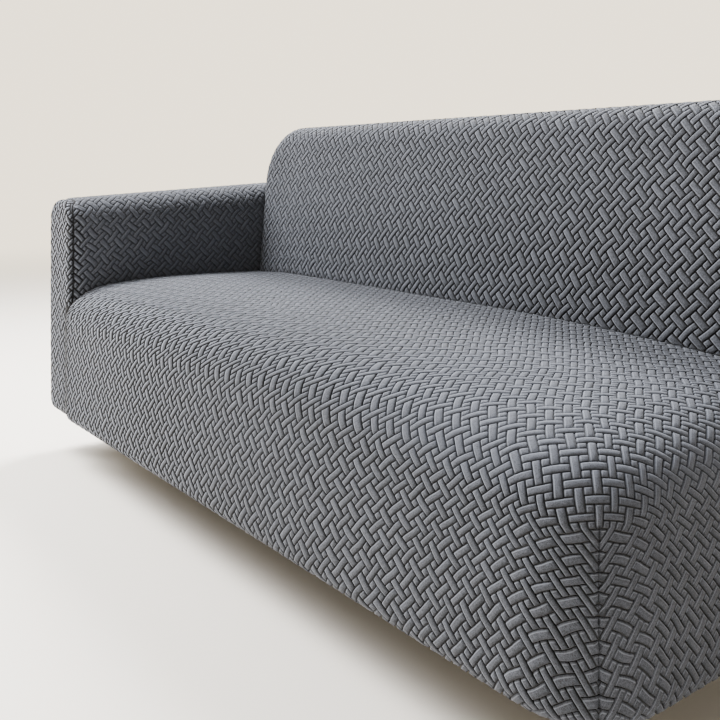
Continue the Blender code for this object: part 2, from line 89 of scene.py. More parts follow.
# Padding
SEAT_RISE = 0.009        # the seat rises this much away from the arm
RISE_RUN = 0.20          # over this length
SEAT_FALL = 0.034        # and falls towards its free end
FALL_FROM, FALL_LONG = 1.10, 0.725     # from here on, over this length
SEAT_SLOPE = 0.016       # and falls towards its front
SLOPE_FROM = 0.30
SEAT_CROWN = (0.004, 0.009)            # crown from front to rear, at the arm and past it
LIFT_LOW, LIFT_TOP = 0.10, 0.02        # these lift the cloth from here up to this far below the seat
SEAT_BELLY = 0.010       # swell of the front drop
END_BELLY = 0.006        # swell of the end drop
TUCK = 0.0145            # how far the front drop is drawn in beside the arm
TUCK_WIDE = 0.016
ARM_BELLY = 0.004        # swell of the arm's outer side
ARM_BELLY_IN = 0.03      # how far in it reaches
ARM_BELLY_Z = 0.02, 0.5  # and between which heights
ARM_CROWN_Z = 0.42, 0.55               # the arm's crown comes in between these heights
BACK_BELLY = 0.010       # swell of the inside back
BACK_BELLY_LOW = 0.05    # how far below the seat it starts
PAD_RUN = 0.50           # a swell grows over this length
BACK_RUN = 0.30

# Cloth
GAP = 0.0014             # between neighbouring pieces
CLOSE = 0.0004           # between the seat and the arm
LOWER = 0.003            # how far a sheet runs on behind its neighbour in a crease
HEM_ROW = 0.006          # last row of faces along a cut edge

HEM_UP = HEM_R * np.sin(HEM_TURN)         # height over which the hem turns in
HEM_ARC = HEM_R * HEM_TURN                # and the cloth's length there
HEM_LONG = HEM_ARC - HEM_UP               # what the turn-in adds to a drop
SEAT_REAR = CREASE_Y + BACK_EDGE          # where the seat's end drop meets the back's end
SEAM_Y = REAR_Y - REAR_EDGE - ROLL_ON     # seam of the outside back
SEAT_CX, SEAT_CY = END_X - SEAT_R, FRONT_Y + SEAT_R
BACK_CZ = BACK_Z - BACK_R
BACK_CL, BACK_CR = BACK_X + BACK_R, END_X - BACK_R
PLACE = -np.array([(END_X + END_BELLY - ARM_BELLY) / 2, (FRONT_Y - SEAT_BELLY + REAR_Y) / 2, 0.0])


def smooth(a, b, x):
    t = np.clip((x - a) / (b - a), 0, 1)
    return t * t * (3 - 2 * t)


def bow(x, a, b):
    """Half a sine from a to b, nought outside."""
    return np.sin(np.clip((x - a) / (b - a), 0, 1) * pi)


def rounded(a, b, r):
    """Distance outside a corner of radius r, where a and b run out from the middle of its round."""
    return np.hypot(np.maximum(a, 0), np.maximum(b, 0)) + np.minimum(np.maximum(a, b), 0) - r


def table(rows):
    """A profile's points, and how far along it each one lies."""
    rows = np.array(rows)
    step = np.linalg.norm(np.diff(rows, axis=0), axis=1)
    return np.concatenate([[0], np.cumsum(step)]), rows


def look(tab, t):
    """The point that lies t along a table's profile."""
    return [np.interp(t, tab[0], tab[1][:, k]) for k in range(tab[1].shape[1])]


def hem_in(z):
    """How far the hem has turned in at height z."""
    s = np.clip((HEM_UP - z) / HEM_R, 0, 0.99)
    return HEM_R * (1 - np.sqrt(1 - s * s))


def hem_drop(v):
    """Height of a point that lies at v on the flat sheet (v = 0 is the flat hem line)."""
    down = np.clip(HEM_ARC - v, 0, HEM_ARC)
    return np.where(v < HEM_ARC, HEM_UP - HEM_R * np.sin(down / HEM_R), v - HEM_ARC + HEM_UP)


def corner(a, b, dart):
    """Flat offsets past a corner -> share of the way round its arc and length along its profile."""
    a, b = np.maximum(a, 0), np.maximum(b, 0)
    start, place = dart
    edge = start / np.sqrt(2)
    rho, turn = np.hypot(a, b), np.arctan2(a, b) / (pi / 4)
    near = np.where(turn <= 1, turn * place, 1 - (2 - turn) * (1 - place))
    af, bf = np.clip(a, 0, edge), np.clip(b, 0, edge)
    t1 = start + b - np.sqrt(start ** 2 - af ** 2)
    t2 = start + a - np.sqrt(start ** 2 - bf ** 2)

    def share(d, t):
        even = smooth(start, start + EVEN, t)
        return even * d / edge + (1 - even) * np.arcsin(d / start) / (pi / 4)
    far, first = rho > start, b >= a
    s = np.where(first, share(af, t1) * place, 1 - share(bf, t2) * (1 - place))
    return np.where(far, s, near), np.where(far, np.where(first, t1, t2), rho)


def dart_gap(a, b, dart):
    """Flat distance from the corner seam (large where there is none)."""
    edge = dart[0] / np.sqrt(2)
    return np.where((a > 0) & (b > 0) & (np.maximum(a, b) > edge), edge - np.minimum(a, b), 1.0)


def dart_dip(a, b, dart, t):
    """How far the corner seam pulls the cloth in, growing from where the seam starts."""
    near = np.clip(1 - dart_gap(a, b, dart) / DART_WIDE, 0, 1)
    return DART_DIP * near ** 2 * smooth(dart[0], dart[0] + DART_GROWS, t)


# ---------------------------------------------------------------- seat
def seat_rows():
    rows = []
    for b in np.linspace(pi / 2, 0, 80):
        rows.append((SEAT_R * max(np.cos(b), 0) ** (2 / SEAT_POW) if b < pi / 2 else 0.0,
                     SEAT_Z - SEAT_RZ + SEAT_RZ * np.sin(b) ** (2 / SEAT_POW)))
    rows += [(SEAT_R, z) for z in np.linspace(SEAT_Z - SEAT_RZ, HEM_UP, 20)[1:]]
    rows += [(SEAT_R - HEM_R * (1 - np.cos(s)), HEM_UP - HEM_R * np.sin(s))
             for s in np.linspace(0, HEM_TURN, 12)[1:]]
    return table(rows)


def arc_rows():
    """The seat's corner seen from above: share of its length, and place."""
    turn = np.linspace(0, pi / 2, 3000)
    x, y = np.sin(turn) ** (2 / SEAT_POW), np.cos(turn).clip(0) ** (2 / SEAT_POW)
    s = np.concatenate([[0], np.cumsum(np.hypot(np.diff(x), np.diff(y)))])
    return s / s[-1], x, y


SEAT_ARC = arc_rows()
SEAT_TAB = seat_rows()
SEAT_DROP = SEAT_TAB[0][-1]


def seat_pad(p):
    """Padding: the crown of the seat, its belly and its tuck against the arm."""
    x, y, z = p[..., 0], p[..., 1], p[..., 2]
    past = smooth(ARM_W, ARM_W + PAD_RUN, x)
    fall = SEAT_FALL * np.clip((x - FALL_FROM) / FALL_LONG, 0, None) ** 2
    over = smooth(ARM_W, ARM_W + RISE_RUN, x) * SEAT_RISE - fall
    over = over + (SEAT_CROWN[0] * (1 - past) + SEAT_CROWN[1] * past) * bow(y, 0, CREASE_Y)
    over = over - SEAT_SLOPE * np.clip((SLOPE_FROM - y) / SLOPE_FROM, 0, 1) ** 2
    front = smooth(SEAT_CY, FRONT_Y, y)
    belly = SEAT_BELLY * bow(z, 0, CUSHION) * past
    tuck = TUCK * np.clip(1 - (x - ARM_W - CLOSE) / TUCK_WIDE, 0, 1) ** 2
    side = END_BELLY * bow(z, 0, CUSHION) * smooth(SEAT_CX, END_X, x) * smooth(SEAT_REAR, SEAT_REAR / 2, y)
    return np.stack([side, (tuck - belly) * front, over * smooth(LIFT_LOW, SEAT_Z - LIFT_TOP, z)], -1)


def seat(u, v):
    u, v = np.asarray(u, float), np.asarray(v, float)
    a, b = u - SEAT_CX, SEAT_CY - v
    s, t = corner(a, b, SEAT_DART)
    rho, z = look(SEAT_TAB, t)
    rho = rho - dart_dip(a, b, SEAT_DART, t)
    own = smooth(0, SEAT_R, t)
    ex = own * np.interp(s, SEAT_ARC[0], SEAT_ARC[1]) + (1 - own) * np.sin(s * pi / 2)
    ey = own * np.interp(s, SEAT_ARC[0], SEAT_ARC[2]) + (1 - own) * np.cos(s * pi / 2)
    p = np.stack([np.where(a > 0, SEAT_CX + rho * ex, u), np.where(b > 0, SEAT_CY - rho * ey, v), z], -1)
    return p + seat_pad(p)


def unpad(p, pad):
    q = p - pad(p)
    return p - pad(q)


def seat_clear(p):
    """About how far a point lies outside the seat block."""
    q = unpad(p, seat_pad)

    def f(q):
        x = np.clip(q[..., 0] - SEAT_CX, 0, None) / SEAT_R
        y = np.clip(SEAT_CY - q[..., 1], 0, None) / SEAT_R
        z = np.clip(q[..., 2] - SEAT_Z + SEAT_RZ, 0, None) / SEAT_RZ
        return (x ** SEAT_POW + y ** SEAT_POW + z ** SEAT_POW) ** (1 / SEAT_POW) - 1
    h = 1e-5
    grad = np.stack([(f(q + h * e) - f(q - h * e)) / (2 * h) for e in np.eye(3)], -1)
    d = f(q) / np.maximum(np.linalg.norm(grad, axis=-1), 1.0)
    return np.maximum(d, q[..., 1] - SEAT_REAR)


# ---------------------------------------------------------------- arm
ARM_MID = ARM_W / 2
ARM_FLAT = ARM_MID - ARM_R
ARM_TURN = ARM_R * pi / 2


def arm_top(y):
    return ARM_Z + ARM_RISE * y


def arm_belly(x, z):
    return smooth(ARM_BELLY_IN, 0.0, x) * ARM_BELLY * bow(z, *ARM_BELLY_Z)


def arm_pad(p):
    x, y, z = p[..., 0], p[..., 1], p[..., 2]
    return np.stack([-arm_belly(x, z), 0 * y, ARM_CROWN * bow(x, 0, ARM_W) * smooth(*ARM_CROWN_Z, z)], -1)


def arm(u, v):
    """u runs from front to rear, v round the arm from its top: inner side below nought."""
    u, v = np.asarray(u, float), np.asarray(v, float)
    sign, t = np.where(v < 0, 1.0, -1.0), np.abs(v)
    phi = np.clip((t - ARM_FLAT) / ARM_R, 0, pi / 2)
    side = np.clip(t - ARM_FLAT - ARM_TURN, 0, None)
    low = hem_drop(np.where(side > 0, arm_top(u) - ARM_R - side + HEM_LONG, 1.0))
    z = np.where(side > 0, low, arm_top(u) - ARM_R + ARM_R * np.cos(phi))
    h = np.minimum(t, ARM_FLAT) + ARM_R * np.sin(phi) - np.where(side > 0, hem_in(z), 0.0)
    p = np.stack([ARM_MID + sign * h, u, z], -1)
    return p + arm_pad(p)


def arm_clear(p):
    q = unpad(p, arm_pad)
    return np.maximum(arm_outline(q[..., 0], q[..., 2], q[..., 1]), -q[..., 1])


def edge_r(gx, z):
    """Rounding of the arm front's edge: gx is how much the edge faces the seat."""
    inner = smooth(*EDGE_FACES, gx)
    low = smooth(SEAT_Z - EDGE_RUN, SEAT_Z, z)
    return EDGE_OUT * (1 - inner) + inner * (EDGE_LOW + (EDGE_IN - EDGE_LOW) * low)


def arm_seam(v, z):
    """Where the arm front's seam lies, for a point round the arm."""
    phi = np.clip((np.abs(v) - ARM_FLAT) / ARM_R, 0, pi / 2)
    return edge_r(np.where(v < 0, np.sin(phi), -np.sin(phi)), z) + ROLL_ON


def arm_outline(x, z, y=0.0):
    """Distance outside the arm's section."""
    return rounded(np.abs(x - ARM_MID) - ARM_FLAT, z - (arm_top(y) - ARM_R), ARM_R)


def rolled(u, v, outline, r_of):
    """A flat piece whose edge is rolled back. Returns x, depth, z and how far inside its seam."""
    x, z = np.asarray(u, float), hem_drop(np.asarray(v, float))
    out, h = outline(x, z), 1e-4
    gx = outline(x + h, z) - outline(x - h, z)
    gz = outline(x, z + h) - outline(x, z - h)
    n = np.maximum(np.hypot(gx, gz), 1e-12)
    gx, gz = gx / n, gz / n
    r = r_of(gx, z)
    turn = np.clip((out + r) / r, 0, pi / 2)
    hem = hem_in(z)
    h = np.minimum(hem, r)
    move = (r - h) * np.sin(turn) - np.clip(out + r, 0, None)
    end = r * (pi / 2 - 1) - out
    depth = hem - h + r - (r - h) * np.cos(turn) + np.clip(-end, 0, None)
    return x + gx * move, depth, z + gz * move, end + ROLL_ON


def front_inside(u, v):
    return rolled(u, v, arm_outline, edge_r)[3]


def front(u, v):
    """u across from the outer side, v up."""
    x, y, z, _ = rolled(u, v, arm_outline, edge_r)
    p = np.stack([x, y, z + ARM_RISE * y * smooth(RISE_FROM, ARM_Z, z)], -1)
    return p + arm_pad(p)


# ---------------------------------------------------------------- back
def back_rows():
    rows = [(0.0, 0.0), (BACK_R - BACK_EDGE, 0.0)]
    rows += [(BACK_R - BACK_EDGE + BACK_EDGE * np.sin(s), BACK_EDGE * (1 - np.cos(s)))
             for s in np.linspace(0, pi / 2, 24)[1:]]
    rows += [(BACK_R, SEAM_Y - CREASE_Y)]
    return table(rows)


BACK_TAB = back_rows()
BACK_LONG = BACK_TAB[0][-1]


def lean(z):
    return BACK_LEAN * np.clip((z - SEAT_Z) / (BACK_Z - SEAT_Z), 0, 1)


def back_pad(p):
    x, y, z = p[..., 0], p[..., 1], p[..., 2]
    share = np.clip((SEAM_Y - y) / (SEAM_Y - CREASE_Y), 0, 1)
    belly = (BACK_BELLY * bow(z, SEAT_Z - BACK_BELLY_LOW, BACK_Z)
             * smooth(BACK_X, BACK_X + BACK_RUN, x) * smooth(END_X, END_X - BACK_RUN, x))
    return np.stack([0 * x, (lean(z) - belly) * share, 0 * z], -1)


def back(u, v):
    u, v = np.asarray(u, float), np.asarray(v, float)
    left = u < (BACK_CL + BACK_CR) / 2
    a = np.where(left, BACK_CL - u, u - BACK_CR)
    b = v - BACK_CZ
    s, t = corner(a, b, BACK_DART)
    rho, depth = look(BACK_TAB, t)
    low = np.where(b > 0, 1.0, v)
    z = hem_drop(low + HEM_LONG)
    hem = np.where(b > 0, 0.0, hem_in(z))
    rho = rho - hem
    rho = rho - dart_dip(a, b, BACK_DART, t)
    ex, ez = np.sin(s * pi / 2), np.cos(s * pi / 2)
    x = np.where(a > 0, np.where(left, BACK_CL - rho * ex, BACK_CR + rho * ex), u)
    p = np.stack([x, CREASE_Y + depth, np.where(b > 0, BACK_CZ + rho * ez, z)], -1)
    return p + back_pad(p)


def back_outline(x, z):
    a = np.abs(x - (BACK_X + END_X) / 2) - (END_X - BACK_X) / 2 + BACK_R
    return rounded(a, z - BACK_CZ, BACK_R)


def back_clear(p):
    q = unpad(p, back_pad)
    out = back_outline(q[..., 0], q[..., 2])
    near = -1.0
    for r, past in ((BACK_EDGE, CREASE_Y - q[..., 1]), (REAR_EDGE, q[..., 1] - REAR_Y)):
        near = np.maximum(near, rounded(out + r, past + r, r))
    return near


# ---------------------------------------------------------------- outside back
def rear_outline(x, z):
    top = z - ARM_CROWN * bow(x, 0, ARM_W)
    return np.minimum(arm_outline(x, top, SEAM_Y), back_outline(x, z))


def rear_r(gx, z):
    return np.full_like(z, REAR_EDGE)


def rear_inside(u, v):
    return rolled(u, v, rear_outline, rear_r)[3]


def rear(u, v):
    x, y, z, _ = rolled(u, v, rear_outline, rear_r)
    return np.stack([x - arm_belly(x, z), REAR_Y - y, z], -1)


# ---------------------------------------------------------------- weave
SHOULDER = 0.36          # a strip's flat top starts this share of a cell from its middle line
CELL_LINES = (-0.5, -SHOULDER, SHOULDER)
HALF_WIDE, HALF_LONG = 0.5, 1.5        # half a strip's width and length, in cells
ROUND = 0.22             # width of a strip's rounded edge, in cells
END_HIGH = 0.86          # its height at its ends, as a share of its middle's
END_RUN = 0.2, 1.3       # and the distances from its end between which it grows, in cells
TURNS = 60               # steps in which a stretched point closes in on its place


class Lay:
    """How the weave lies on one flat panel. Its strips run at about 45 degrees to the sofa."""

    def __init__(self, weave, origin, drift=None, mirrors=()):
        self.across = weave.wide, weave.narrow
        self.origin, self.drift, self.mirrors = np.array(origin), drift, [np.array(m) for m in mirrors]
        self.wander = weave.wander

    def pull(self, q):
        """How far stretched cloth has moved from its even grid, the same on both sides of a corner seam."""
        total = ripple(q)
        for m in self.mirrors:
            total = total + ripple(q @ m) @ m
        total = total * self.wander / (1 + len(self.mirrors))
        return total if self.drift is None else total + self.drift(q[..., 0], q[..., 1])

    def cells(self, flat):
        q = flat - self.origin
        q = q - self.pull(q)
        wide, narrow = self.across
        return (q[..., 0] + q[..., 1]) / (np.sqrt(2) * wide), (q[..., 1] - q[..., 0]) / (np.sqrt(2) * narrow)

    def spot(self, a, b):
        wide, narrow = self.across
        even = np.stack([(a * wide - b * narrow) / np.sqrt(2), (a * wide + b * narrow) / np.sqrt(2)], -1)
        q = even
        for _ in range(TURNS):
            q = even + self.pull(q)
        return q + self.origin


def run_in(x, over):
    """x, but growing gently from nought over the first stretch."""
    x = np.clip(x, 0, None)
    return np.where(x < over, x * x / (2 * over), x - over / 2)


MIRROR_LEFT = ((0.0, -1.0), (-1.0, 0.0))        # swaps the two sides of a seam that runs down to the right
MIRROR_RIGHT = ((0.0, 1.0), (1.0, 0.0))         # and of one that runs up to the right
HALF_TURN = ((-1.0, 0.0), (0.0, -1.0))


# Three waves for each way: turns per metre along s and t, times 2 pi, and where the wave starts
WAVES = (((41, 67, 0.6), (-73, 38, 2.1), (119, 97, 4.0)),
         ((59, -47, 1.3), (31, 83, 3.3), (88, -131, 5.2)))
WAVE_SIZES = 1.0, 0.7, 0.4


def ripple(q):
    """Unlike waves that shift the even grid, each way by about one."""
    s, t = q[..., 0], q[..., 1]
    return np.stack([sum(size * np.sin(per_s * s + per_t * t + start)
                         for size, (per_s, per_t, start) in zip(WAVE_SIZES, waves)) for waves in WAVES], -1)


def strip_edges(a, b):
    """Distance in cells to the edges of the strip at (a, b), across a and across b."""
    i, j = np.floor(a + 0.5), np.floor(b + 0.5)
    odd_i, odd_j = np.mod(i, 2) == 1, np.mod(j, 2) == 1
    turn = np.mod(j - i, 4)
    up = ~odd_i & (odd_j | (turn == 0))
    over = ~odd_j & (odd_i | (turn == 2))
    along_b = np.abs(np.mod(j - i + 1, 4) - 1 + b - j)
    along_a = np.abs(np.mod(i - j - 1, 4) - 1 + a - i)
    across_a = np.where(over, HALF_LONG - along_a, HALF_WIDE - np.abs(a - i))
    across_b = np.where(up, HALF_LONG - along_b, HALF_WIDE - np.abs(b - j))
    return across_a, across_b


def pillow(a, b):
    """Height of the padded strips, from nought in the grooves to one."""
    da, db = strip_edges(a, b)
    q = np.hypot(np.clip(1 - da / ROUND, 0, 1), np.clip(1 - db / ROUND, 0, 1))
    end = np.clip(np.maximum(da, db), 0, HALF_LONG)
    return np.sqrt(np.clip(1 - q * q, 0, 1)) * (END_HIGH + (1 - END_HIGH) * smooth(*END_RUN, end))


# ---------------------------------------------------------------- sheets
THREAD = 0.00003         # points closer than this are one
SNAP_SHARE = 0.15        # a cut this near a point, as a share of the edge, moves the point instead
HALVINGS = 24            # steps in which a cut closes in on its line
SIDES = 10               # most corners of a face
ALIKE = 1e-6             # cells; lines closer than this are one
MARK_CLEAR = 0.08        # cells; a line this near a mark gives way to the line through it
TOP_INSIDE = 0.3         # cells; faces this far inside a strip's edges are joined in pairs
HEM_BAND = 0.045, 0.03   # heights between which the hem's narrower margin takes over
STITCH = 0.0012          # a corner seam's stitches hold the weave down this far
HEM_CLEAR = 0.004        # the material shades the hem as if it lay this much further from a seam
CLEAR_MOST = 0.02        # distances from a seam past this are alike
GROOVE_NEAR = 0.02       # cells; an edge this near a strip's edge is in its groove
TOP_WEIGHT = 60          # how much the larger faces lead the shading


def ring_next(faces):
    """The corner that follows each corner of each face."""
    after = np.roll(faces, -1, axis=1)
    return np.where(after < 0, faces[:, :1], after)


def edges_of(faces):
    """Both ends of each face's edges, in the face's direction."""
    real = faces >= 0
    return faces[real], ring_next(faces)[real]


def run_through(aa, bb):
    """Where a strip along a crosses a cell's end line: that line's index, and its lower shoulder's."""
    top, slope = 2 * SHOULDER, 0.5 - SHOULDER

    def spaced(lines, at, gaps):
        """True where the lines on from each index in at stand these gaps apart."""
        fits = [np.abs(lines[at + k + 1] - lines[at + k] - gap) < ALIKE for k, gap in enumerate(gaps)]
        return np.all(fits, axis=0)
    p = np.arange(1, len(aa) - 1)
    whole = (np.abs(np.mod(aa[p], 1) - 0.5) < ALIKE) & spaced(aa, p - 1, (slope, slope))
    q = np.arange(1, len(bb) - 2)
    level = np.abs(np.mod(bb[q] + SHOULDER + 0.5, 1) - 0.5) < ALIKE
    level &= spaced(bb, q - 1, (slope, top, slope))
    return [x.ravel() for x in np.meshgrid(p[whole], q[level], indexing="ij")]


def merged(aa, bb, quads_kept):
    """Faces of the grid, with the small ones inside the strips' tops joined in pairs."""
    wide = len(bb)
    faces, gone = [], np.zeros((len(aa) - 1, wide - 1), bool)
    for swap in (False, True):
        p, q = run_through(bb, aa) if swap else run_through(aa, bb)
        line, row = (bb, aa) if swap else (aa, bb)
        mid = (line[p], (row[q] + row[q + 1]) / 2)
        inside = np.minimum(*strip_edges(*(mid[::-1] if swap else mid))) > TOP_INSIDE
        p, q = p[inside], q[inside]

        def spot(dp, dq):
            return (q + dq) * wide + p + dp if swap else (p + dp) * wide + q + dq
        cells = [(p + k, q + d) for d in (-1, 0, 1) for k in (-1, 0)]
        cells = [c[::-1] if swap else c for c in cells]
        whole = np.all([quads_kept[c] for c in cells], axis=0)
        cells = [(a[whole], b[whole]) for a, b in cells]
        for c in cells:
            gone[c] = True
        rings = ([(-1, 0), (1, 0), (1, 1), (-1, 1)],
                 [(-1, 1), (1, 1), (1, 2), (0, 2), (-1, 2)],
                 [(-1, -1), (0, -1), (1, -1), (1, 0), (-1, 0)])
        for ring in rings:
            face = np.full((whole.sum(), SIDES), -1)
            for n, (dp, dq) in enumerate(ring[::-1] if swap else ring):
                face[:, n] = spot(dp, dq)[whole]
            faces.append(face)
    i, j = np.nonzero(quads_kept & ~gone)
    face = np.full((len(i), SIDES), -1)
    face[:, :4] = np.stack([i * wide + j, (i + 1) * wide + j, (i + 1) * wide + j + 1, i * wide + j + 1], -1)
    return np.concatenate([face, *faces])


def woven_grid(low, high, lay, marks, keep=None):
    """Faces along the strips, from low to high on the flat cloth, with a point at each mark."""
    corners = np.array([(low[0], low[1]), (low[0], high[1]), (high[0], low[1]), (high[0], high[1])])
    ca, cb = lay.cells(corners)

    def lines(c, through):
        cells = np.arange(np.floor(c.min()) - 1, np.ceil(c.max()) + 2)
        line = (cells[:, None] + np.array(CELL_LINES)).ravel()
        for spot in through:
            line = line[np.abs(line - spot) > MARK_CLEAR]
        return np.unique(np.concatenate([line, np.round(through, 9)]))
    ma, mb = lay.cells(np.array(marks).reshape(-1, 2))
    aa, bb = lines(ca, ma), lines(cb, mb)
    a, b = np.meshgrid(aa, bb, indexing="ij")
    flat = lay.spot(a.ravel(), b.ravel())
    grid = flat.reshape(len(aa), len(bb), 2)
    mid = (grid[:-1, :-1] + grid[1:, :-1] + grid[:-1, 1:] + grid[1:, 1:]) / 4
    reach = 2 * max(lay.across)
    some = np.all((mid > np.array(low) - reach) & (mid < np.array(high) + reach), axis=-1)
    if keep is not None:
        some &= keep(mid[..., 0], mid[..., 1])
    return packed(flat, merged(aa, bb, some))


def packed(flat, faces):
    """Drop the points that no face uses."""
    used = np.unique(faces[faces >= 0])
    place = np.full(len(flat), -1)
    place[used] = np.arange(len(used))
    return flat[used], np.where(faces >= 0, place[faces], -1)


def trim(flat, faces, field):
    """Cut the flat cloth along the zero line of field, and keep where it is above nought."""
    flat = flat.copy()
    f = field(flat[:, 0], flat[:, 1])
    p, q = edges_of(faces)
    p, q = np.concatenate([p, q]), np.concatenate([q, p])
    cross = f[p] * f[q] < 0
    p, q = p[cross], q[cross]
    share = f[p] / (f[p] - f[q])
    near = share < SNAP_SHARE
    p, move = p[near], share[near][:, None] * (flat[q[near]] - flat[p[near]])
    total, count = np.zeros_like(flat), np.zeros(len(flat))
    np.add.at(total, p, move)
    np.add.at(count, p, 1)
    flat += total / np.maximum(count, 1)[:, None]
    f[count > 0] = 0
    sign = np.sign(f)
    at = np.where(faces >= 0, sign[faces], 0)
    plus, minus = (at > 0).any(axis=1), (at < 0).any(axis=1)
    whole = faces[plus & ~minus]
    mixed = faces[plus & minus]
    if not len(mixed):
        return packed(flat, whole)
    p, q = edges_of(mixed)
    cross = sign[p] * sign[q] < 0
    pairs = np.unique(np.sort(np.stack([p[cross], q[cross]], -1), axis=1), axis=0)
    lo, hi = flat[pairs[:, 0]], flat[pairs[:, 1]]
    side = sign[pairs[:, 0]]
    for _ in range(HALVINGS):
        mid = (lo + hi) / 2
        same = np.sign(field(mid[:, 0], mid[:, 1])) == side
        lo, hi = np.where(same[:, None], mid, lo), np.where(same[:, None], hi, mid)
    place = {(int(x), int(y)): len(flat) + k for k, (x, y) in enumerate(pairs)}
    flat = np.concatenate([flat, (lo + hi) / 2])
    made = []
    for face in mixed.tolist():
        face = [k for k in face if k >= 0]
        ring = []
        for k, p in enumerate(face):
            q = face[(k + 1) % len(face)]
            if sign[p] >= 0:
                ring.append(p)
            if sign[p] * sign[q] < 0:
                ring.append(place[(min(p, q), max(p, q))])
        if len(ring) > 2:
            made.append(ring[:SIDES] + [-1] * (SIDES - len(ring)))
    return packed(flat, np.concatenate([whole, np.array(made)]))


def rim_of(faces):
    """Edges that one face uses, in that face's direction."""
    p, q = edges_of(faces)
    key = np.minimum(p, q) * (faces.max() + 1) + np.maximum(p, q)
    _, back, count = np.unique(key, return_inverse=True, return_counts=True)
    once = (count[back] == 1) & (p != q)
    return np.stack([p[once], q[once]], -1)


def point_normals(pts, faces):
    """Which way the cloth faces at each point, weighted by its faces' areas."""
    after = ring_next(faces)
    real = faces >= 0
    turn = np.zeros((len(faces), 3))
    base = pts[faces[:, 0]]
    for k in range(faces.shape[1]):
        one = real[:, k]
        turn[one] += np.cross(pts[faces[one, k]] - base[one], pts[after[one, k]] - base[one])
    out = np.zeros_like(pts)
    for k in range(faces.shape[1]):
        one = real[:, k]
        np.add.at(out, faces[one, k], turn[one])
    return out / np.maximum(np.linalg.norm(out, axis=1), 1e-12)[:, None]


def joined(pts, rim):
    """For each point, the point it is sewn to along a corner seam, or itself."""
    same = np.arange(len(pts))
    edge = np.unique(rim)
    tree = KDTree(len(edge))
    for k in edge:
        tree.insert(pts[k], int(k))
    tree.balance()
    for k in edge:
        same[k] = min(n for _, n, _ in tree.find_range(pts[k], THREAD))
    return same


def edge_distance(pts, open_rim):
    """Each point's distance from the panel's open edge."""
    edge = np.unique(open_rim[:, 0])
    tree = KDTree(len(edge))
    for k, p in enumerate(edge):
        tree.insert(pts[p], k)
    tree.balance()
    return np.array([tree.find(p)[2] for p in pts])


def inner_face(flat, rim, lines, inside):
    """The cloth's inner face: wide triangles between the same edges."""
    edge = np.unique(rim)
    place = {int(k): n for n, k in enumerate(edge)}
    us, vs = np.meshgrid(*[np.array(x) for x in lines], indexing="ij")
    extra = np.stack([us.ravel(), vs.ravel()], -1)
    extra = extra[inside(extra[:, 0], extra[:, 1])]
    points = np.concatenate([flat[edge], extra])
    edges = [(place[int(p)], place[int(q)]) for p, q in rim]
    out, _, tris, origins, _, _ = delaunay_2d_cdt([Vector(p) for p in points], edges, [], 1, 1e-7)
    spot = np.array([list(p) for p in out])
    named = np.full(len(out), -1)
    for n, kin in enumerate(origins):
        for k in kin:
            if k < len(edge):
                named[n] = edge[k]
    return spot, named, np.array([list(t) for t in tris if len(t) == 3])


def cloth_mesh(name, points, rings, cells, outside, clear):
    """A mesh with the weave's cells as its UV map. Faces past the first outside ones are the reverse."""
    corners = np.concatenate([np.asarray(r) for r in rings])
    totals = np.array([len(r) for r in rings])
    used = np.unique(corners)
    place = np.full(len(points), -1)
    place[used] = np.arange(len(used))
    mesh = bpy.data.meshes.new(name)
    mesh.vertices.add(len(used))
    mesh.vertices.foreach_set("co", points[used].ravel())
    mesh.loops.add(len(corners))
    mesh.loops.foreach_set("vertex_index", place[corners])
    mesh.polygons.add(len(totals))
    mesh.polygons.foreach_set("loop_start", np.concatenate([[0], np.cumsum(totals)[:-1]]))
    mesh.polygons.foreach_set("use_smooth", np.ones(len(totals), bool))
    mesh.polygons.foreach_set("material_index", (np.arange(len(totals)) >= outside).astype(int))
    mesh.attributes.new("clear_of_seam", "FLOAT", "POINT").data.foreach_set("value", clear[used])
    mesh.uv_layers.new(name="weave").data.foreach_set("uv", cells.ravel())
    mesh.update(calc_edges=True)
    mesh.validate()
    return mesh, place


def mark_sharp(mesh, place, creased):
    """Make the edges between these pairs of points sharp."""
    ends = np.zeros(len(mesh.edges) * 2, int)
    mesh.edges.foreach_get("vertices", ends)
    ends = np.sort(ends.reshape(-1, 2), axis=1)
    creased = np.sort(place[creased], axis=1)
    size = len(mesh.vertices)
    sharp = np.isin(ends[:, 0] * size + ends[:, 1], creased[:, 0] * size + creased[:, 1])
    mesh.edges.foreach_set("use_edge_sharp", sharp)


def flatten_tops(piece):
    """Let the wide faces of the strips' tops lead the shading."""
    bpy.ops.object.select_all(action="DESELECT")
    bpy.context.view_layer.objects.active = piece
    piece.select_set(True)
    flat_tops = piece.modifiers.new("flat tops", "WEIGHTED_NORMAL")
    flat_tops.keep_sharp = True
    flat_tops.weight = TOP_WEIGHT
    bpy.ops.object.modifier_apply(modifier=flat_tops.name)


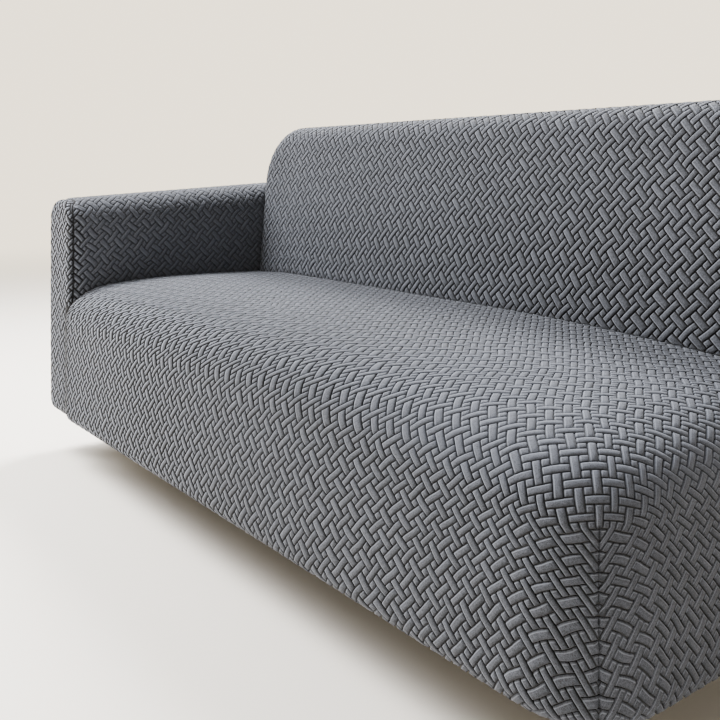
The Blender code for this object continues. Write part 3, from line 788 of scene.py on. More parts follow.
def sew(name, form, flat, faces, lines, inside, lay, look_of, seam, calm=1.0, flip=False):
    """Make one panel: raised weave outside, smooth inside, closed along its edges."""
    rim = rim_of(faces)
    pts = form(flat[:, 0], flat[:, 1]) + PLACE
    same = joined(pts, rim)
    sewn = np.where(faces >= 0, same[faces], -1)
    outward = -1.0 if flip else 1.0
    normal = point_normals(pts, sewn)[same] * outward
    open_rim = rim_of(sewn)
    far = edge_distance(pts, open_rim)
    hem = smooth(*HEM_BAND, pts[:, 2])
    ramp = smooth(0, look_of.edge * calm * (1 - hem) + look_of.hem * hem, far)
    beside = seam(flat[:, 0], flat[:, 1])
    height = look_of.relief * pillow(*lay.cells(flat)) * ramp * smooth(0.0, STITCH, beside)
    outer = pts + normal * (height - look_of.dip * (1 - ramp))[:, None]

    spot, named, tris = inner_face(flat, rim, lines, inside)
    low = form(spot[:, 0], spot[:, 1]) + PLACE
    known = named >= 0
    low[known] = pts[named[known]]
    first, kin = {}, np.arange(len(spot))
    for k in np.flatnonzero(known):
        kin[k] = first.setdefault(int(same[named[k]]), int(k))
    tris = kin[tris]
    tris = tris[np.all(tris != np.roll(tris, -1, axis=1), axis=1)]
    inner = low - point_normals(low, tris)[kin] * outward * look_of.thickness
    inner[known] = low[known] - normal[named[known]] * (look_of.thickness + look_of.dip)

    base = len(outer)
    rings = [f[f >= 0] for f in sewn]
    spots = [flat[f[f >= 0]] for f in faces]
    outside = len(rings)
    rings += [[q, p, base + first[int(p)], base + first[int(q)]] for p, q in open_rim]
    spots += [flat[[q, p, p, q]] for p, q in open_rim]
    rings += [t[::-1] + base for t in tris]
    spots += [spot[t[::-1]] for t in tris]
    if flip:
        rings, spots = [r[::-1] for r in rings], [s[::-1] for s in spots]
    cells = np.stack(lay.cells(np.concatenate(spots)), -1)
    clear = np.concatenate([np.minimum(beside, far + HEM_CLEAR * hem), np.zeros(len(inner))])
    points = np.concatenate([outer, inner])
    mesh, place = cloth_mesh(name, points, rings, cells, outside, clear.clip(0, CLEAR_MOST))

    p, q = edges_of(faces)
    groove = np.minimum(*strip_edges(*lay.cells((flat[p] + flat[q]) / 2))) < GROOVE_NEAR
    mark_sharp(mesh, place, np.concatenate([np.stack([same[p[groove]], same[q[groove]]], -1), open_rim]))
    piece = bpy.data.objects.new(name, mesh)
    bpy.context.scene.collection.objects.link(piece)
    flatten_tops(piece)
    return piece


def rows(*stops):
    """Lines from stop to stop: value, count, value, count, value ..."""
    line = [stops[0]]
    for k in range(1, len(stops), 2):
        line += list(np.linspace(line[-1], stops[k + 1], stops[k] + 1)[1:])
    return line


# ---------------------------------------------------------------- materials
class Field:
    """A value that varies over the cloth. Arithmetic on it adds Math nodes."""

    def __init__(self, tree, socket):
        self.tree, self.socket = tree, socket

    def node(self, kind, settings=None, values=None, out=0):
        """The output of a new node, which takes other fields as links."""
        made = self.tree.nodes.new(kind)
        for key, value in (settings or {}).items():
            setattr(made, key, value)
        for key, value in (values or {}).items():
            if isinstance(value, Field):
                self.tree.links.new(value.socket, made.inputs[key])
            else:
                made.inputs[key].default_value = value
        return Field(self.tree, made.outputs[out])

    def math(self, operation, *others):
        return self.node("ShaderNodeMath", {"operation": operation}, dict(enumerate((self, *others))))

    def __add__(self, other):
        return self.math("ADD", other)

    __radd__ = __add__

    def __mul__(self, other):
        return self.math("MULTIPLY", other)

    __rmul__ = __mul__

    def __sub__(self, other):
        return self.math("SUBTRACT", other)

    def __rsub__(self, other):
        return self.node("ShaderNodeMath", {"operation": "SUBTRACT"}, {0: other, 1: self})

    def __truediv__(self, other):
        return self.math("DIVIDE", other)

    def __mod__(self, other):
        return self.math("FLOORED_MODULO", other)

    def __abs__(self):
        return self.math("ABSOLUTE")

    def floor(self):
        return self.math("FLOOR")

    def over(self, other):
        return self.math("GREATER_THAN", other)

    def least(self, other):
        return self.math("MINIMUM", other)

    def most(self, other):
        return self.math("MAXIMUM", other)

    def unit(self):
        return self.math("MAXIMUM", 0.0).math("MINIMUM", 1.0)

    def ease(self, low, high):
        """Nought below low, one above high, smooth between."""
        return self.node("ShaderNodeMapRange", {"interpolation_type": "SMOOTHSTEP"},
                         {0: self, 1: low, 2: high, 3: 0.0, 4: 1.0})

    def pick(self, low, high):
        """low where this is nought, high where it is one."""
        return self.node("ShaderNodeMix", {"data_type": "FLOAT"}, {0: self, 2: low, 3: high})

    def parts(self):
        """The components of a vector."""
        split = self.node("ShaderNodeSeparateXYZ", {}, {0: self}).socket.node
        return [Field(self.tree, out) for out in split.outputs]

    def scaled(self, by):
        return self.node("ShaderNodeVectorMath", {"operation": "SCALE"}, {0: self, 3: by})

    def noise(self, scale, detail=2.0, rough=0.5):
        """Noise over the cloth, from a vector in metres."""
        return self.node("ShaderNodeTexNoise", {"noise_dimensions": "2D"},
                         {"Vector": self, "Scale": scale, "Detail": detail, "Roughness": rough})


def new_material(name, roughness):
    mat = bpy.data.materials.new(name)
    mat.use_nodes = True
    shader = mat.node_tree.nodes["Principled BSDF"]
    shader.inputs["Roughness"].default_value = roughness
    shader.inputs["Specular IOR Level"].default_value = 0.25
    return mat, shader


def blend_colour(field, low, high):
    low, high = [c if isinstance(c, Field) else (*c, 1) for c in (low, high)]
    return field.node("ShaderNodeMix", {"data_type": "RGBA"}, {0: field, 6: low, 7: high}, out=2)


def coordinates(tree, output):
    return Field(tree, tree.nodes.new("ShaderNodeTexCoord").outputs[output])


def weave_map(tree, weave):
    """The cloth's own map, in cells and in metres."""
    cells = Field(tree, tree.nodes.new("ShaderNodeUVMap").outputs[0])
    cells.socket.node.uv_map = "weave"
    return cells, cells.scaled(weave.narrow)


def raise_nap(tree, shader, height, distance=1.0):
    """Let the light catch the cloth as if it were raised by height."""
    bump = tree.nodes.new("ShaderNodeBump")
    bump.inputs["Distance"].default_value = distance
    tree.links.new(height.socket, bump.inputs["Height"])
    tree.links.new(bump.outputs[0], shader.inputs["Normal"])


# Zones where the painted light and shade change. Each pair runs from the zone's edge to where it is full.
OPEN_X, OPEN_Y = (0.35, -0.55), (-0.33, -0.37)          # the front, which is stretched open towards the arm; there the painted shade and highlight are wider and stronger
LIT_CORNER_X, LIT_CORNER_Y, LIT_CORNER_Z = (0.25, 0.7), (0.05, -0.15), (0.23, 0.29)     # the seat's free corner, painted paler and with lighter painted shade, as painted light
ARM_X, ARM_Y = (-0.742, -0.752), (-0.388, -0.374)       # the arm, where the painted highlight and shade are weaker and the yarn a little darker
INNER_Z = 0.56, 0.50                                    # and below its top, where the yarn is painted paler, as painted light

# Painted lines along a strip, in cells from its left or right edge: painted shade on the right, away from
# the light, and a painted highlight on the left
CUT_LEFT, CUT_RIGHT = 0.055, 0.14       # width of the painted black shade line in the groove, on the left and on the right
SHADE = 0.42                            # width of the painted shade on the right
HIGHLIGHT_AT, HIGHLIGHT_WIDE = 0.18, 0.08           # middle and half width of the painted highlight on the left, the side the light comes from
CUT_OPEN, SHADE_OPEN = 0.14, 0.12       # how much wider the painted right-hand shade line and shade are where the weave is open
HIGHLIGHT_MOVE, HIGHLIGHT_OPEN = 0.05, 0.07         # how far the painted highlight moves in there, and how much wider it is
SEAM_OFF = 0.06                         # a seam's shade is narrower by this

# Noise, per metre, and heights in metres
GRAIN, NAP, PATCHES, KNIT = 620.0, 230.0, 7.0, 500.0
GRAIN_HIGH, NAP_HIGH, CUT_DEEP, SHADE_DEEP = 0.00042, 0.0005, 0.0011, 0.0008
KNIT_HIGH = 0.0004


def woven_cloth(colours, weave):
    """Raised strips of heathered yarn with deep grooves between them, painted shade in the grooves and on
    each strip's right side, and a painted highlight on its left.
    """
    mat, shader = new_material("woven stretch cloth", 0.92)
    shader.inputs["Sheen Weight"].default_value = colours.sheen
    shader.inputs["Sheen Roughness"].default_value = 0.45
    shader.inputs["Sheen Tint"].default_value = (*colours.fuzz, 1)
    tree = mat.node_tree
    cells, metres = weave_map(tree, weave)

    # which strip passes over at (a, b), and how far its edges are
    a, b, _ = cells.parts()
    i, j = (a + 0.5).floor(), (b + 0.5).floor()
    odd_i, odd_j, turn = i % 2, j % 2, (j - i) % 4
    is_two = 1 - (abs(turn - 2)).over(0.5)
    is_four = 1 - (turn.least(4 - turn)).over(0.5)
    up = (1 - odd_i) * (odd_j.most(is_four))
    over = (1 - odd_j) * (odd_i.most(is_two))
    along_b = ((j - i + 1) % 4) - 1 + b - j
    along_a = ((i - j - 1) % 4) - 1 + a - i
    off_a, half_a = over.pick(a - i, along_a), over.pick(HALF_WIDE, HALF_LONG)
    off_b, half_b = up.pick(b - j, along_b), up.pick(HALF_WIDE, HALF_LONG)
    clear = Field(tree, tree.nodes.new("ShaderNodeAttribute").outputs["Fac"])
    clear.socket.node.attribute_name = "clear_of_seam"
    # distances from a strip's left edge, which gets the painted highlight and a thin painted groove line,
    # and from its right edge or a seam, which get the wider painted shade
    left = (half_a + off_a).least(half_b - off_b)
    right = (half_a - off_a).least(half_b + off_b).least(clear / weave.narrow + SEAM_OFF)

    x, y, z = coordinates(tree, "Object").parts()
    # zones of painted light and shade: wider and stronger on the open front, partly for its stretched weave;
    # paler at the seat's free corner and on the arm
    stretched_and_painted = x.ease(*OPEN_X) * y.ease(*OPEN_Y)
    closed = x.ease(*LIT_CORNER_X) * z.ease(*LIT_CORNER_Z) * y.ease(*LIT_CORNER_Y)
    on_arm = x.ease(*ARM_X) * y.ease(*ARM_Y)
    inner = on_arm * z.ease(*INNER_Z)
    # painted shade: a black line in each groove, wider on the strip's right side, and a shade that fades in
    # from that side
    groove = (1 - left / CUT_LEFT).unit().most((1 - right / (CUT_RIGHT + stretched_and_painted * CUT_OPEN)).unit())
    soft = (1 - right / (SHADE + stretched_and_painted * SHADE_OPEN)).unit()
    # painted highlight: a pale line just inside each strip's left edge, where the light from the left
    # catches it
    rim = (1 - abs(left - (HIGHLIGHT_AT + stretched_and_painted * HIGHLIGHT_MOVE)) / (HIGHLIGHT_WIDE + stretched_and_painted * HIGHLIGHT_OPEN)).unit()

    fine, fuzz = metres.noise(GRAIN, 2.0, 0.6), metres.noise(NAP, 3.0, 0.55)
    wide = metres.noise(PATCHES)
    middle = cells.node("ShaderNodeCombineXYZ", {},
                        {0: over.pick(i, a - along_a), 1: up.pick(j, b - along_b)})
    tint = cells.node("ShaderNodeTexWhiteNoise", {"noise_dimensions": "2D"}, {"Vector": middle})
    # tone of the yarn, from nought where it is dark to one where it is light; painted light makes it paler
    # at the seat's free corner and on the arm below its top, and a little darker on the rest of the arm
    light = (0.5 + (fine - 0.5) * 2.5 + (fuzz - 0.5) * 1.3 + (tint - 0.5) * 0.22 + (wide - 0.5) * 0.25
             + closed * 0.40 + inner * 0.55 - on_arm * 0.10)
    yarn = blend_colour(light.unit(), colours.yarn_dark, colours.yarn_light)
    # mix the painted highlight into the yarn: stronger on the open front, weaker on the arm
    yarn = blend_colour(rim * (0.55 + stretched_and_painted * 0.45 - on_arm * 0.35), yarn, colours.rim)
    # painted shade mixed into the base colour, lighter at the seat's free corner and on the arm
    shade = soft * (0.60 + stretched_and_painted * 0.35 - closed * 0.45 - on_arm * 0.20)
    shade = (groove * (0.95 - closed * 0.45) + shade).unit()
    tree.links.new(blend_colour(shade, yarn, colours.groove).socket, shader.inputs["Base Color"])
    raise_nap(tree, shader, (fine - 0.5) * GRAIN_HIGH + (fuzz - 0.5) * NAP_HIGH
              - groove * groove * CUT_DEEP - soft * soft * SHADE_DEEP)
    return mat


def cloth_reverse(colours, weave):
    """The smooth knit on the inside of the cover."""
    mat, shader = new_material("cloth reverse", 0.95)
    fine = weave_map(mat.node_tree, weave)[1].noise(KNIT)
    colour = blend_colour(fine, colours.groove, colours.yarn_dark)
    mat.node_tree.links.new(colour.socket, shader.inputs["Base Color"])
    raise_nap(mat.node_tree, shader, fine, KNIT_HIGH)
    return mat


# ---------------------------------------------------------------- panels
CLOSE_GAP = 0.0008       # between neighbouring panels
WELL_INSIDE = 0.003      # the inner face's own points keep this far from the edge
END_GAP, END_GAP_RUN = 0.2, 0.02       # share of the gap left between seat and back at their ends
DART_KEEN = 2.5          # a corner seam's shade is narrower than the others' by this
ARM_SHADE = 0.10         # and the one beside the arm wider, as this share

# Where the weave closes up on the seat, on flat cloth, from the middle of the free corner's round
SQUEEZE_FROM, SQUEEZE_TO = (0.25, 0.10), (-0.60, 0.30)      # along the seat, each with its run-in
TOP_START, TOP_ALONG = 0.09, (-0.05, -0.30)                 # it starts further forward along here
TOP_RUN = 0.26
LEAN_RUN, LEAN_ALONG = 0.10, (-0.10, -0.45)                 # the front's strips start to lean
KNOT, KNOT_REACH = 0.07, 0.20                               # the tightest place, and its reach
BACK_LEANS = 0.7         # the back's strips lean less, by this
BACK_FREE = 0.35, 0.2    # and not this near its ends and its top


def meets(*fields):
    """A test that all fields are well above nought."""
    return lambda u, v: np.min([f(u, v) for f in fields], axis=0) > WELL_INSIDE


def dress(piece, node):
    """Give a finished panel its place in the cover, and hide the CAD part it stands for."""
    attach(piece, "root")
    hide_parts(node)


def cloth_materials(scene):
    for name, maker in (("woven stretch cloth", woven_cloth), ("cloth reverse", cloth_reverse)):
        if name not in bpy.data.materials:
            maker(scene.cover_colours, scene.cover_weave)
    return [bpy.data.materials[n] for n in ("woven stretch cloth", "cloth reverse")]


def no_seam(u, v):
    return np.full(np.shape(u), 1.0)


def make_panel(context, node, form, low, high, lay, fields, lines,
               marks=(), keep=None, seam=no_seam, calm=1.0, flip=False):
    """Cut a panel from the flat cloth, where all fields are above nought, and sew it to its form."""
    flat, faces = woven_grid(low, high, lay, marks, keep)
    for field in fields:
        flat, faces = trim(flat, faces, field)
    if not len(faces):
        raise RuntimeError(node + " came out empty")
    clear = meets(*fields)
    inside = clear if keep is None else lambda u, v: clear(u, v) & keep(u, v)
    piece = sew("woven_" + node, form, flat, faces, lines, inside, lay, context.scene.cover_weave,
                seam, calm, flip)
    for mat in cloth_materials(context.scene):
        piece.data.materials.append(mat)
    p, q = [flat[ends] for ends in edges_of(faces)]
    area = abs((p[:, 0] * q[:, 1] - p[:, 1] * q[:, 0]).sum()) / 2
    span = flat.max(axis=0) - flat.min(axis=0)
    dress(piece, node)
    return {"FINISHED"}


class MESH_OT_cover_seat(bpy.types.Operator):
    """Make the seat panel: the seat's top, front drop and end drop, with its corner seam"""
    bl_idname = "mesh.cover_seat"
    bl_label = "Seat panel"

    def execute(self, context):
        edge = SEAT_DART[0] / np.sqrt(2)

        def crease(u, v):
            p = seat(u, v)
            gap = CLOSE_GAP * (END_GAP + (1 - END_GAP) * smooth(0, END_GAP_RUN, END_X - p[..., 0]))
            return np.where(p[..., 2] < SEAT_Z / 2, 1.0, back_clear(p) - gap)
        fields = (
            lambda u, v: u - (ARM_W + CLOSE),
            lambda u, v: SEAT_REAR - CLOSE_GAP / 2 - v,
            lambda u, v: SEAT_DROP - corner(u - SEAT_CX, SEAT_CY - v, SEAT_DART)[1],
            crease,
            lambda u, v: np.maximum(edge - (u - SEAT_CX), edge - (SEAT_CY - v)),
        )
        drop = rows(0, 6, edge - 0.008, 2, edge, 4, 0.20, 5, SEAT_DROP - 0.045, 4, SEAT_DROP - HEM_ROW)
        us = rows(ARM_W + 0.006, 3, ARM_W + 0.012, 1, ARM_W + 0.05, 10, SEAT_CX)[:-1]
        us += [SEAT_CX + d for d in drop]
        vs = [SEAT_CY - d for d in reversed(drop)]
        vs += rows(SEAT_CY, 7, CREASE_Y - 0.05, 5, SEAT_REAR - 0.01)[1:]
        far = SEAT_DROP + 0.01
        weave = context.scene.cover_weave

        def drift(s, t):
            start = -edge - TOP_START * smooth(*TOP_ALONG, s)
            (first, gently), (last, slowly) = SQUEEZE_FROM, SQUEEZE_TO
            packed_in = run_in(first - s, gently) - run_in(last - s, slowly)
            on_top = weave.squeeze * packed_in * smooth(start, start + TOP_RUN, t)
            down = -run_in(-t, LEAN_RUN) * weave.lean * smooth(*LEAN_ALONG, s)
            # closer round the free corner, whose middle lies on the line of its seam
            ds, dt = s - KNOT, t + KNOT
            reach = np.hypot(ds, dt)
            tight = -weave.corner / (1 + reach / KNOT_REACH)
            return np.stack([on_top + down + tight * ds, down + tight * dt], -1)

        def seam(u, v):
            beside_arm = ARM_SHADE * (u - ARM_W - CLOSE) + smooth(-0.01, 0.03, v)
            return np.minimum(DART_KEEN * dart_gap(u - SEAT_CX, SEAT_CY - v, SEAT_DART), beside_arm)
        lay = Lay(weave, (SEAT_CX, SEAT_CY), drift, [MIRROR_LEFT])
        low, high = (ARM_W, SEAT_CY - far), (SEAT_CX + far, SEAT_REAR)
        return make_panel(context, "seat_panel", seat, low, high, lay, fields, (us, vs),
                          marks=[(SEAT_CX + edge, SEAT_CY - edge)], seam=seam)


class MESH_OT_cover_back(bpy.types.Operator):
    """Make the back panel: the inside back, the top and both ends, with a seam at each top corner"""
    bl_idname = "mesh.cover_back"
    bl_label = "Back panel"

    def execute(self, context):
        edge = BACK_DART[0] / np.sqrt(2)

        def off(u):
            return np.maximum(BACK_CL - u, u - BACK_CR)

        def keep(u, v):
            low = (v < SEAT_Z - 0.12) & (u < END_X - 0.10)
            return ~low & ~((v < SEAT_Z - 0.02) & (u < ARM_W - 0.02))
        fields = (
            lambda u, v: v + HEM_LONG,
            lambda u, v: BACK_LONG - CLOSE_GAP / 2 - corner(off(u), v - BACK_CZ, BACK_DART)[1],
            lambda u, v: arm_clear(back(u, v)) - CLOSE_GAP,
            lambda u, v: seat_clear(back(u, v)) - CLOSE_GAP / 2,
            lambda u, v: np.maximum(edge - off(u), edge - (v - BACK_CZ)),
        )
        roll = BACK_R - BACK_EDGE
        band = rows(0, 2, 0.07, 5, edge - 0.004, 1, edge, 3, roll + BACK_EDGE * pi / 2,
                    3, BACK_LONG - 0.05, 1, BACK_LONG - HEM_ROW)
        us = [BACK_CL - d for d in reversed(band)] + rows(BACK_CL, 9, BACK_CR)[1:-1]
        us += [BACK_CR + d for d in band]
        vs = rows(0.004, 3, 0.03, 3, SEAT_Z - 0.10, 2, SEAT_Z - 0.02, 2, SEAT_Z + 0.03, 6, BACK_CZ)[:-1]
        vs += [BACK_CZ + d for d in band]
        # the line of each corner seam runs along the middle of a strip
        origin = ((BACK_CL + BACK_CR) / 2, BACK_CZ - (BACK_CR - BACK_CL) / 2)
        half, weave = (BACK_CR - BACK_CL) / 2, context.scene.cover_weave

        def drift(s, t):
            down = ((t - half) * BACK_LEANS * weave.lean * smooth(half, half - BACK_FREE[0], np.abs(s))
                    * smooth(half, half - BACK_FREE[1], t))
            return np.stack([down, down], -1)

        def seam(u, v):
            return DART_KEEN * dart_gap(off(u), v - BACK_CZ, BACK_DART)
        lay = Lay(weave, origin, drift, [MIRROR_LEFT, MIRROR_RIGHT, HALF_TURN])
        far = BACK_LONG + 0.005
        low, high = (BACK_CL - far, -HEM_LONG - 0.002), (BACK_CR + far, BACK_CZ + far)
        marks = [(BACK_CL - edge, BACK_CZ + edge), (BACK_CR + edge, BACK_CZ + edge)]
        return make_panel(context, "back_panel", back, low, high, lay, fields, (us, vs),
                          marks=marks, keep=keep, seam=seam)


class MESH_OT_cover_arm(bpy.types.Operator):
    """Make the arm's two panels: the one over its sides and top, and its front"""
    bl_idname = "mesh.cover_arm"
    bl_label = "Arm panels"

    def execute(self, context):
        side = ARM_FLAT + ARM_TURN
        tall = side + arm_top(SEAM_Y) - ARM_R + HEM_LONG

        def low_edge(u, v):
            p = arm(u, v)
            p[..., 0] = ARM_W + GAP
            return np.where(v < 0, seat_clear(p) + LOWER, 1.0)
        fields = (
            lambda u, v: SEAM_Y - CLOSE_GAP / 2 - u,
            lambda u, v: v + side + 0.30,
            lambda u, v: ARM_FLAT + ARM_TURN + arm_top(u) - ARM_R + HEM_LONG - v,
            lambda u, v: u - arm_seam(v, arm(u, v)[..., 2]) - CLOSE_GAP / 2,
            low_edge,
            lambda u, v: back_clear(arm(u, v)) + LOWER,
        )
        vs = rows(-side - 0.29, 6, -side, 6, -ARM_FLAT, 3, ARM_FLAT, 6, side, 7, tall - 0.075, 6, tall)
        us = rows(EDGE_IN + 0.006, 1, EDGE_OUT + 0.006, 8, CREASE_Y + 0.01, 3, SEAM_Y - 0.006)
        lay = Lay(context.scene.cover_weave, (0.0, 0.0))
        low, high = (0, -side - 0.30), (SEAM_Y, tall + 0.002)
        make_panel(context, "arm_panel", arm, low, high, lay, fields, (us, vs))

        wide = EDGE_OUT * (pi / 2 - 1) + ROLL_ON
        tall = ARM_Z + HEM_LONG

        def turn(u, v):
            p = front(u, v)
            past = ARM_W - CLOSE_GAP / 2 - p[..., 0]
            p[..., 0] = ARM_W + GAP
            return np.maximum(past, np.where(v < SEAT_Z / 2, -1.0, seat_clear(p)) + LOWER)

        def seam(u, v):
            return ARM_SHADE * (ARM_W - CLOSE_GAP / 2 - u) + smooth(SEAT_Z - 0.045, SEAT_Z - 0.01, v)
        fields = (lambda u, v: v + 0 * u, lambda u, v: front_inside(u, v) - CLOSE_GAP / 2, turn)
        us = rows(-wide, 5, EDGE_OUT, 2, 0.055, 3, 0.10, 3, 0.135, 4, ARM_W - GAP)
        vs = rows(0.004, 4, 0.04, 4, tall - 0.12, 5, tall - 0.05, 7, tall + wide)
        low, high = (-wide - 0.002, 0), (ARM_W + wide, tall + wide + 0.002)
        return make_panel(context, "arm_front", front, low, high, lay, fields, (us, vs), seam=seam, calm=2.0)


class MESH_OT_cover_rear(bpy.types.Operator):
    """Make the outside back, which covers the rear of the back and of the arm"""
    bl_idname = "mesh.cover_rear"
    bl_label = "Outside back"

    def execute(self, context):
        wide = REAR_EDGE * (pi / 2 - 1) + ROLL_ON
        tall = arm_top(SEAM_Y) + HEM_LONG
        fields = (
            lambda u, v: v + 0 * u,
            lambda u, v: rear_inside(u, v) - CLOSE_GAP / 2,
        )
        us = rows(-wide, 4, REAR_EDGE, 1, ARM_FLAT + 0.03, 3, BACK_X - wide, 4, BACK_X + REAR_EDGE,
                  5, BACK_CL, 6, BACK_CR, 5, END_X - REAR_EDGE, 4, END_X + wide)
        vs = rows(0.004, 4, 0.04, 5, tall - 0.06, 2, tall - REAR_EDGE, 4, tall + wide + 0.004,
                  2, BACK_CZ + 0.06, 4, BACK_Z - REAR_EDGE, 4, BACK_Z + HEM_LONG + wide)

        def keep(u, v):
            return ~((u < BACK_X - wide - 0.02) & (v > tall + wide + 0.02))
        low, high = (-wide - 0.002, 0), (END_X + wide + 0.002, BACK_Z + HEM_LONG + wide + 0.002)
        lay = Lay(context.scene.cover_weave, (END_X / 2, 0.0))
        return make_panel(context, "outside_back", rear, low, high, lay, fields, (us, vs),
                          keep=keep, flip=True)


# ---------------------------------------------------------------- studio
FLOOR_Z = -0.109         # the sofa's feet, left out, lift the hem this far off the floor
FLOOR_WIDE = 120
FADE = 2.5, 8.0          # the floor turns into the wall between these distances
ACROSS = 0.35, -0.45     # the studio's far side, in a direction's x, and where its near side starts
SKY_LOW = 0.42, 0.24     # the wall's upper edge, in a direction's z
SKY_HIGH = 0.70, 0.85    # and the ceiling's
SKY_MID = 0.12           # light between them, as a share of the ceiling's
LAMPS = {"key": (-3.0, -2.2, 2.7), "front": (-1.6, -1.4, 3.4), "rear": (-1.6, 2.0, 3.4)}
LAMP_AIM = -0.2, -0.1, 0.25
LAMP_TINT = 1.0, 0.98, 0.955
SENSOR = 36.0            # millimetres
IMAGE = 720              # width of the picture, in pixels


def dimmed(colour, share):
    return [share * c for c in colour]


def pale_floor(look_of):
    """A matt floor that fades into the wall far from the cover."""
    mat, shader = new_material("pale floor", 0.8)
    shader.inputs["Base Color"].default_value = (*look_of.floor, 1)
    tree = mat.node_tree
    place = coordinates(tree, "Object")
    far = place.node("ShaderNodeVectorMath", {"operation": "LENGTH"}, {0: place}, out=1)
    across = place.parts()[0] / far
    glow = tree.nodes.new("ShaderNodeEmission")
    wall = blend_colour(across.ease(*ACROSS), dimmed(look_of.wall, look_of.far_side), look_of.wall)
    tree.links.new(wall.socket, glow.inputs["Color"])
    both = tree.nodes.new("ShaderNodeMixShader")
    tree.links.new(far.ease(*FADE).socket, both.inputs[0])
    tree.links.new(shader.outputs[0], both.inputs[1])
    tree.links.new(glow.outputs[0], both.inputs[2])
    tree.links.new(both.outputs[0], tree.nodes["Material Output"].inputs[0])
    return mat


def studio_glow(look_of):
    """A world that is pale round the walls and above, and dimmer on its far side."""
    world = bpy.data.worlds.new("studio")
    world.use_nodes = True
    tree = world.node_tree
    across, _, up = coordinates(tree, "Generated").parts()
    sky = blend_colour(up.ease(*SKY_LOW), dimmed(look_of.ceiling, SKY_MID), look_of.wall)
    sky = blend_colour(up.ease(*SKY_HIGH), sky, look_of.ceiling)
    sky = blend_colour(across.ease(*ACROSS), sky.scaled(look_of.far_side), sky)
    tree.links.new(sky.socket, tree.nodes["Background"].inputs["Color"])
    return world


def stand(name, data, place, aim):
    """Put a lamp or a camera at its place, looking along aim."""
    obj = bpy.data.objects.new(name, data)
    obj.location = place
    obj.rotation_euler = aim.to_track_quat("-Z", "Y").to_euler()
    bpy.context.scene.collection.objects.link(obj)
    return obj


class SCENE_OT_cover_studio(bpy.types.Operator):
    """Set up the pale floor, the soft light and the camera"""
    bl_idname = "scene.cover_studio"
    bl_label = "Studio"

    def execute(self, context):
        look_of = context.scene.cover_studio
        bpy.ops.object.select_all(action="DESELECT")
        bpy.ops.mesh.primitive_plane_add(size=FLOOR_WIDE, location=(0, 0, FLOOR_Z))
        floor = context.object
        floor.name = "floor"
        floor.data.materials.append(pale_floor(look_of))
        context.scene.world = studio_glow(look_of)

        for key, place in LAMPS.items():
            lamp = bpy.data.lights.new(key + " light", "AREA")
            lamp.shape, lamp.size = "SQUARE", look_of.softness
            lamp.energy, lamp.color = getattr(look_of, key), LAMP_TINT
            stand(lamp.name, lamp, place, Vector(LAMP_AIM) - Vector(place))

        view = bpy.data.cameras.new("camera")
        view.sensor_width, view.lens = SENSOR, SENSOR * look_of.focal / IMAGE
        view.shift_y = look_of.shift
        heading, pitch = pi - look_of.heading, look_of.pitch
        aim = Vector((np.cos(heading) * np.cos(pitch), np.sin(heading) * np.cos(pitch), -np.sin(pitch)))
        context.scene.camera = stand("camera", view, look_of.eye, aim)
        return {"FINISHED"}


# ---------------------------------------------------------------- settings
class CoverWeave(bpy.types.PropertyGroup):
    wide: FloatProperty(
        name="Wide strips", default=0.0138, unit="LENGTH",
        description="Width of the strips that run down to the right")
    narrow: FloatProperty(
        name="Narrow strips", default=0.0119, unit="LENGTH",
        description="Width of the strips that run up to the right")
    squeeze: FloatProperty(
        name="Squeeze", default=0.19, subtype="FACTOR",
        description="How much closer the weave lies on the seat's top")
    corner: FloatProperty(
        name="Corner", default=0.42, subtype="FACTOR",
        description="How much closer the weave lies round the seat's free corner")
    lean: FloatProperty(
        name="Lean", default=0.125, subtype="FACTOR",
        description="How much steeper the wide strips stand")
    wander: FloatProperty(
        name="Wander", default=0.0015, unit="LENGTH",
        description="How far the strips wander from an even grid")
    relief: FloatProperty(
        name="Relief", default=0.0036, unit="LENGTH",
        description="Height of the strips above their grooves")
    thickness: FloatProperty(
        name="Thickness", default=0.0012, unit="LENGTH",
        description="Thickness of the cloth under its grooves")
    edge: FloatProperty(
        name="Seam margin", default=0.010, unit="LENGTH",
        description="Width over which the weave flattens beside a seam")
    hem: FloatProperty(
        name="Hem margin", default=0.003, unit="LENGTH",
        description="Width over which the weave flattens beside the hem")
    dip: FloatProperty(
        name="Seam dip", default=0.0008, unit="LENGTH",
        description="How far the cloth is drawn in at a seam")


class CoverColours(bpy.types.PropertyGroup):
    yarn_light: FloatVectorProperty(
        name="Light yarn", subtype="COLOR", default=(0.0852, 0.0945, 0.1194),
        description="Lightest tone of the heathered yarn")
    yarn_dark: FloatVectorProperty(
        name="Dark yarn", subtype="COLOR", default=(0.033, 0.0362, 0.0438),
        description="Darkest tone of the heathered yarn")
    # painted highlight, not a yarn of its own: the pale colour along each strip's left edge where the light
    # catches it
    rim: FloatVectorProperty(
        name="Rims", subtype="COLOR", default=(0.238, 0.262, 0.320),
        description="Brushed yarn along the strips' raised edges")
    # painted shade: the near-black colour in the grooves and on the strips' shaded side; it is also the
    # darker tone of the cloth's smooth reverse
    groove: FloatVectorProperty(
        name="Grooves", subtype="COLOR", default=(0.004, 0.0042, 0.005),
        description="Cloth between the strips")
    fuzz: FloatVectorProperty(
        name="Fuzz", subtype="COLOR", default=(0.85, 0.88, 0.95),
        description="Tint of the soft sheen")
    sheen: FloatProperty(
        name="Sheen", default=0.10, min=0, max=1, subtype="FACTOR",
        description="Strength of the soft sheen")


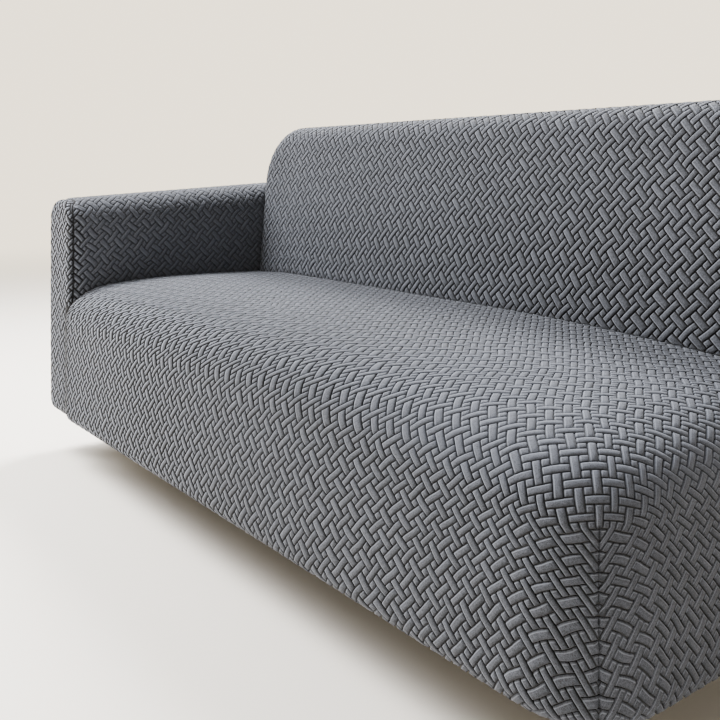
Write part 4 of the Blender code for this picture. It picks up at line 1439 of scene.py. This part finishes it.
class CoverStudio(bpy.types.PropertyGroup):
    floor: FloatVectorProperty(
        name="Floor", subtype="COLOR", default=(0.88, 0.84, 0.78),
        description="Colour of the floor")
    wall: FloatVectorProperty(
        name="Wall", subtype="COLOR", default=(2.75, 2.40, 1.84), soft_max=10,
        description="Colour and brightness of the studio wall")
    ceiling: FloatVectorProperty(
        name="Ceiling", subtype="COLOR", default=(1.63, 1.60, 1.56), soft_max=10,
        description="Colour and brightness of the light from straight above")
    far_side: FloatProperty(
        name="Far side", default=0.50, subtype="FACTOR",
        description="Brightness of the studio on the right, as a share of the left")
    key: FloatProperty(
        name="Key light", default=212.0, unit="POWER",
        description="Power of the light on the arm's side")
    front: FloatProperty(
        name="Front light", default=334.0, unit="POWER",
        description="Power of the light above the front")
    rear: FloatProperty(
        name="Rear light", default=501.0, unit="POWER",
        description="Power of the light behind the back")
    softness: FloatProperty(name="Softness", description="Width of the lights", default=1.6, unit="LENGTH")
    eye: FloatVectorProperty(
        name="Camera", subtype="TRANSLATION", unit="LENGTH", default=(1.5378, -1.1913, 0.6365),
        description="Where the camera stands")
    heading: FloatProperty(
        name="Heading", default=0.6458, subtype="ANGLE",
        description="Turn of the camera from the sofa's length towards its back")
    pitch: FloatProperty(
        name="Pitch", default=0.002, subtype="ANGLE",
        description="How far the camera looks down")
    focal: FloatProperty(
        name="Focal length", default=908.75,
        description="In pixels of a picture that is 720 pixels wide")
    shift: FloatProperty(
        name="Lens shift", default=-0.2603,
        description="Rise of the lens as a share of the image width")


class VIEW3D_PT_cover(bpy.types.Panel):
    """Panel with the cover's pieces, sizes and colours"""
    bl_label = "Slipcover"
    bl_space_type = "VIEW_3D"
    bl_region_type = "UI"
    bl_category = "Slipcover"

    def draw(self, context):
        for group in (context.scene.cover_weave, context.scene.cover_colours, context.scene.cover_studio):
            box = self.layout.box()
            for key in group.bl_rna.properties.keys():
                if key not in ("rna_type", "name"):
                    box.prop(group, key)
        for maker in MAKERS:
            self.layout.operator(maker.bl_idname)


MAKERS = (MESH_OT_cover_seat, MESH_OT_cover_back, MESH_OT_cover_arm, MESH_OT_cover_rear,
          SCENE_OT_cover_studio)
GROUPS = (("cover_weave", CoverWeave), ("cover_colours", CoverColours), ("cover_studio", CoverStudio))


def register():
    for name, group in GROUPS:
        bpy.utils.register_class(group)
        setattr(bpy.types.Scene, name, PointerProperty(type=group))
    for one in (*MAKERS, VIEW3D_PT_cover):
        bpy.utils.register_class(one)


def unregister():
    for one in reversed((*MAKERS, VIEW3D_PT_cover)):
        bpy.utils.unregister_class(one)
    for name, group in reversed(GROUPS):
        delattr(bpy.types.Scene, name)
        bpy.utils.unregister_class(group)


def main():
    register()
    bpy.ops.mesh.cover_seat()
    bpy.ops.mesh.cover_back()
    bpy.ops.mesh.cover_arm()
    bpy.ops.mesh.cover_rear()
    bpy.ops.scene.cover_studio()


if __name__ == "__main__":
    main()
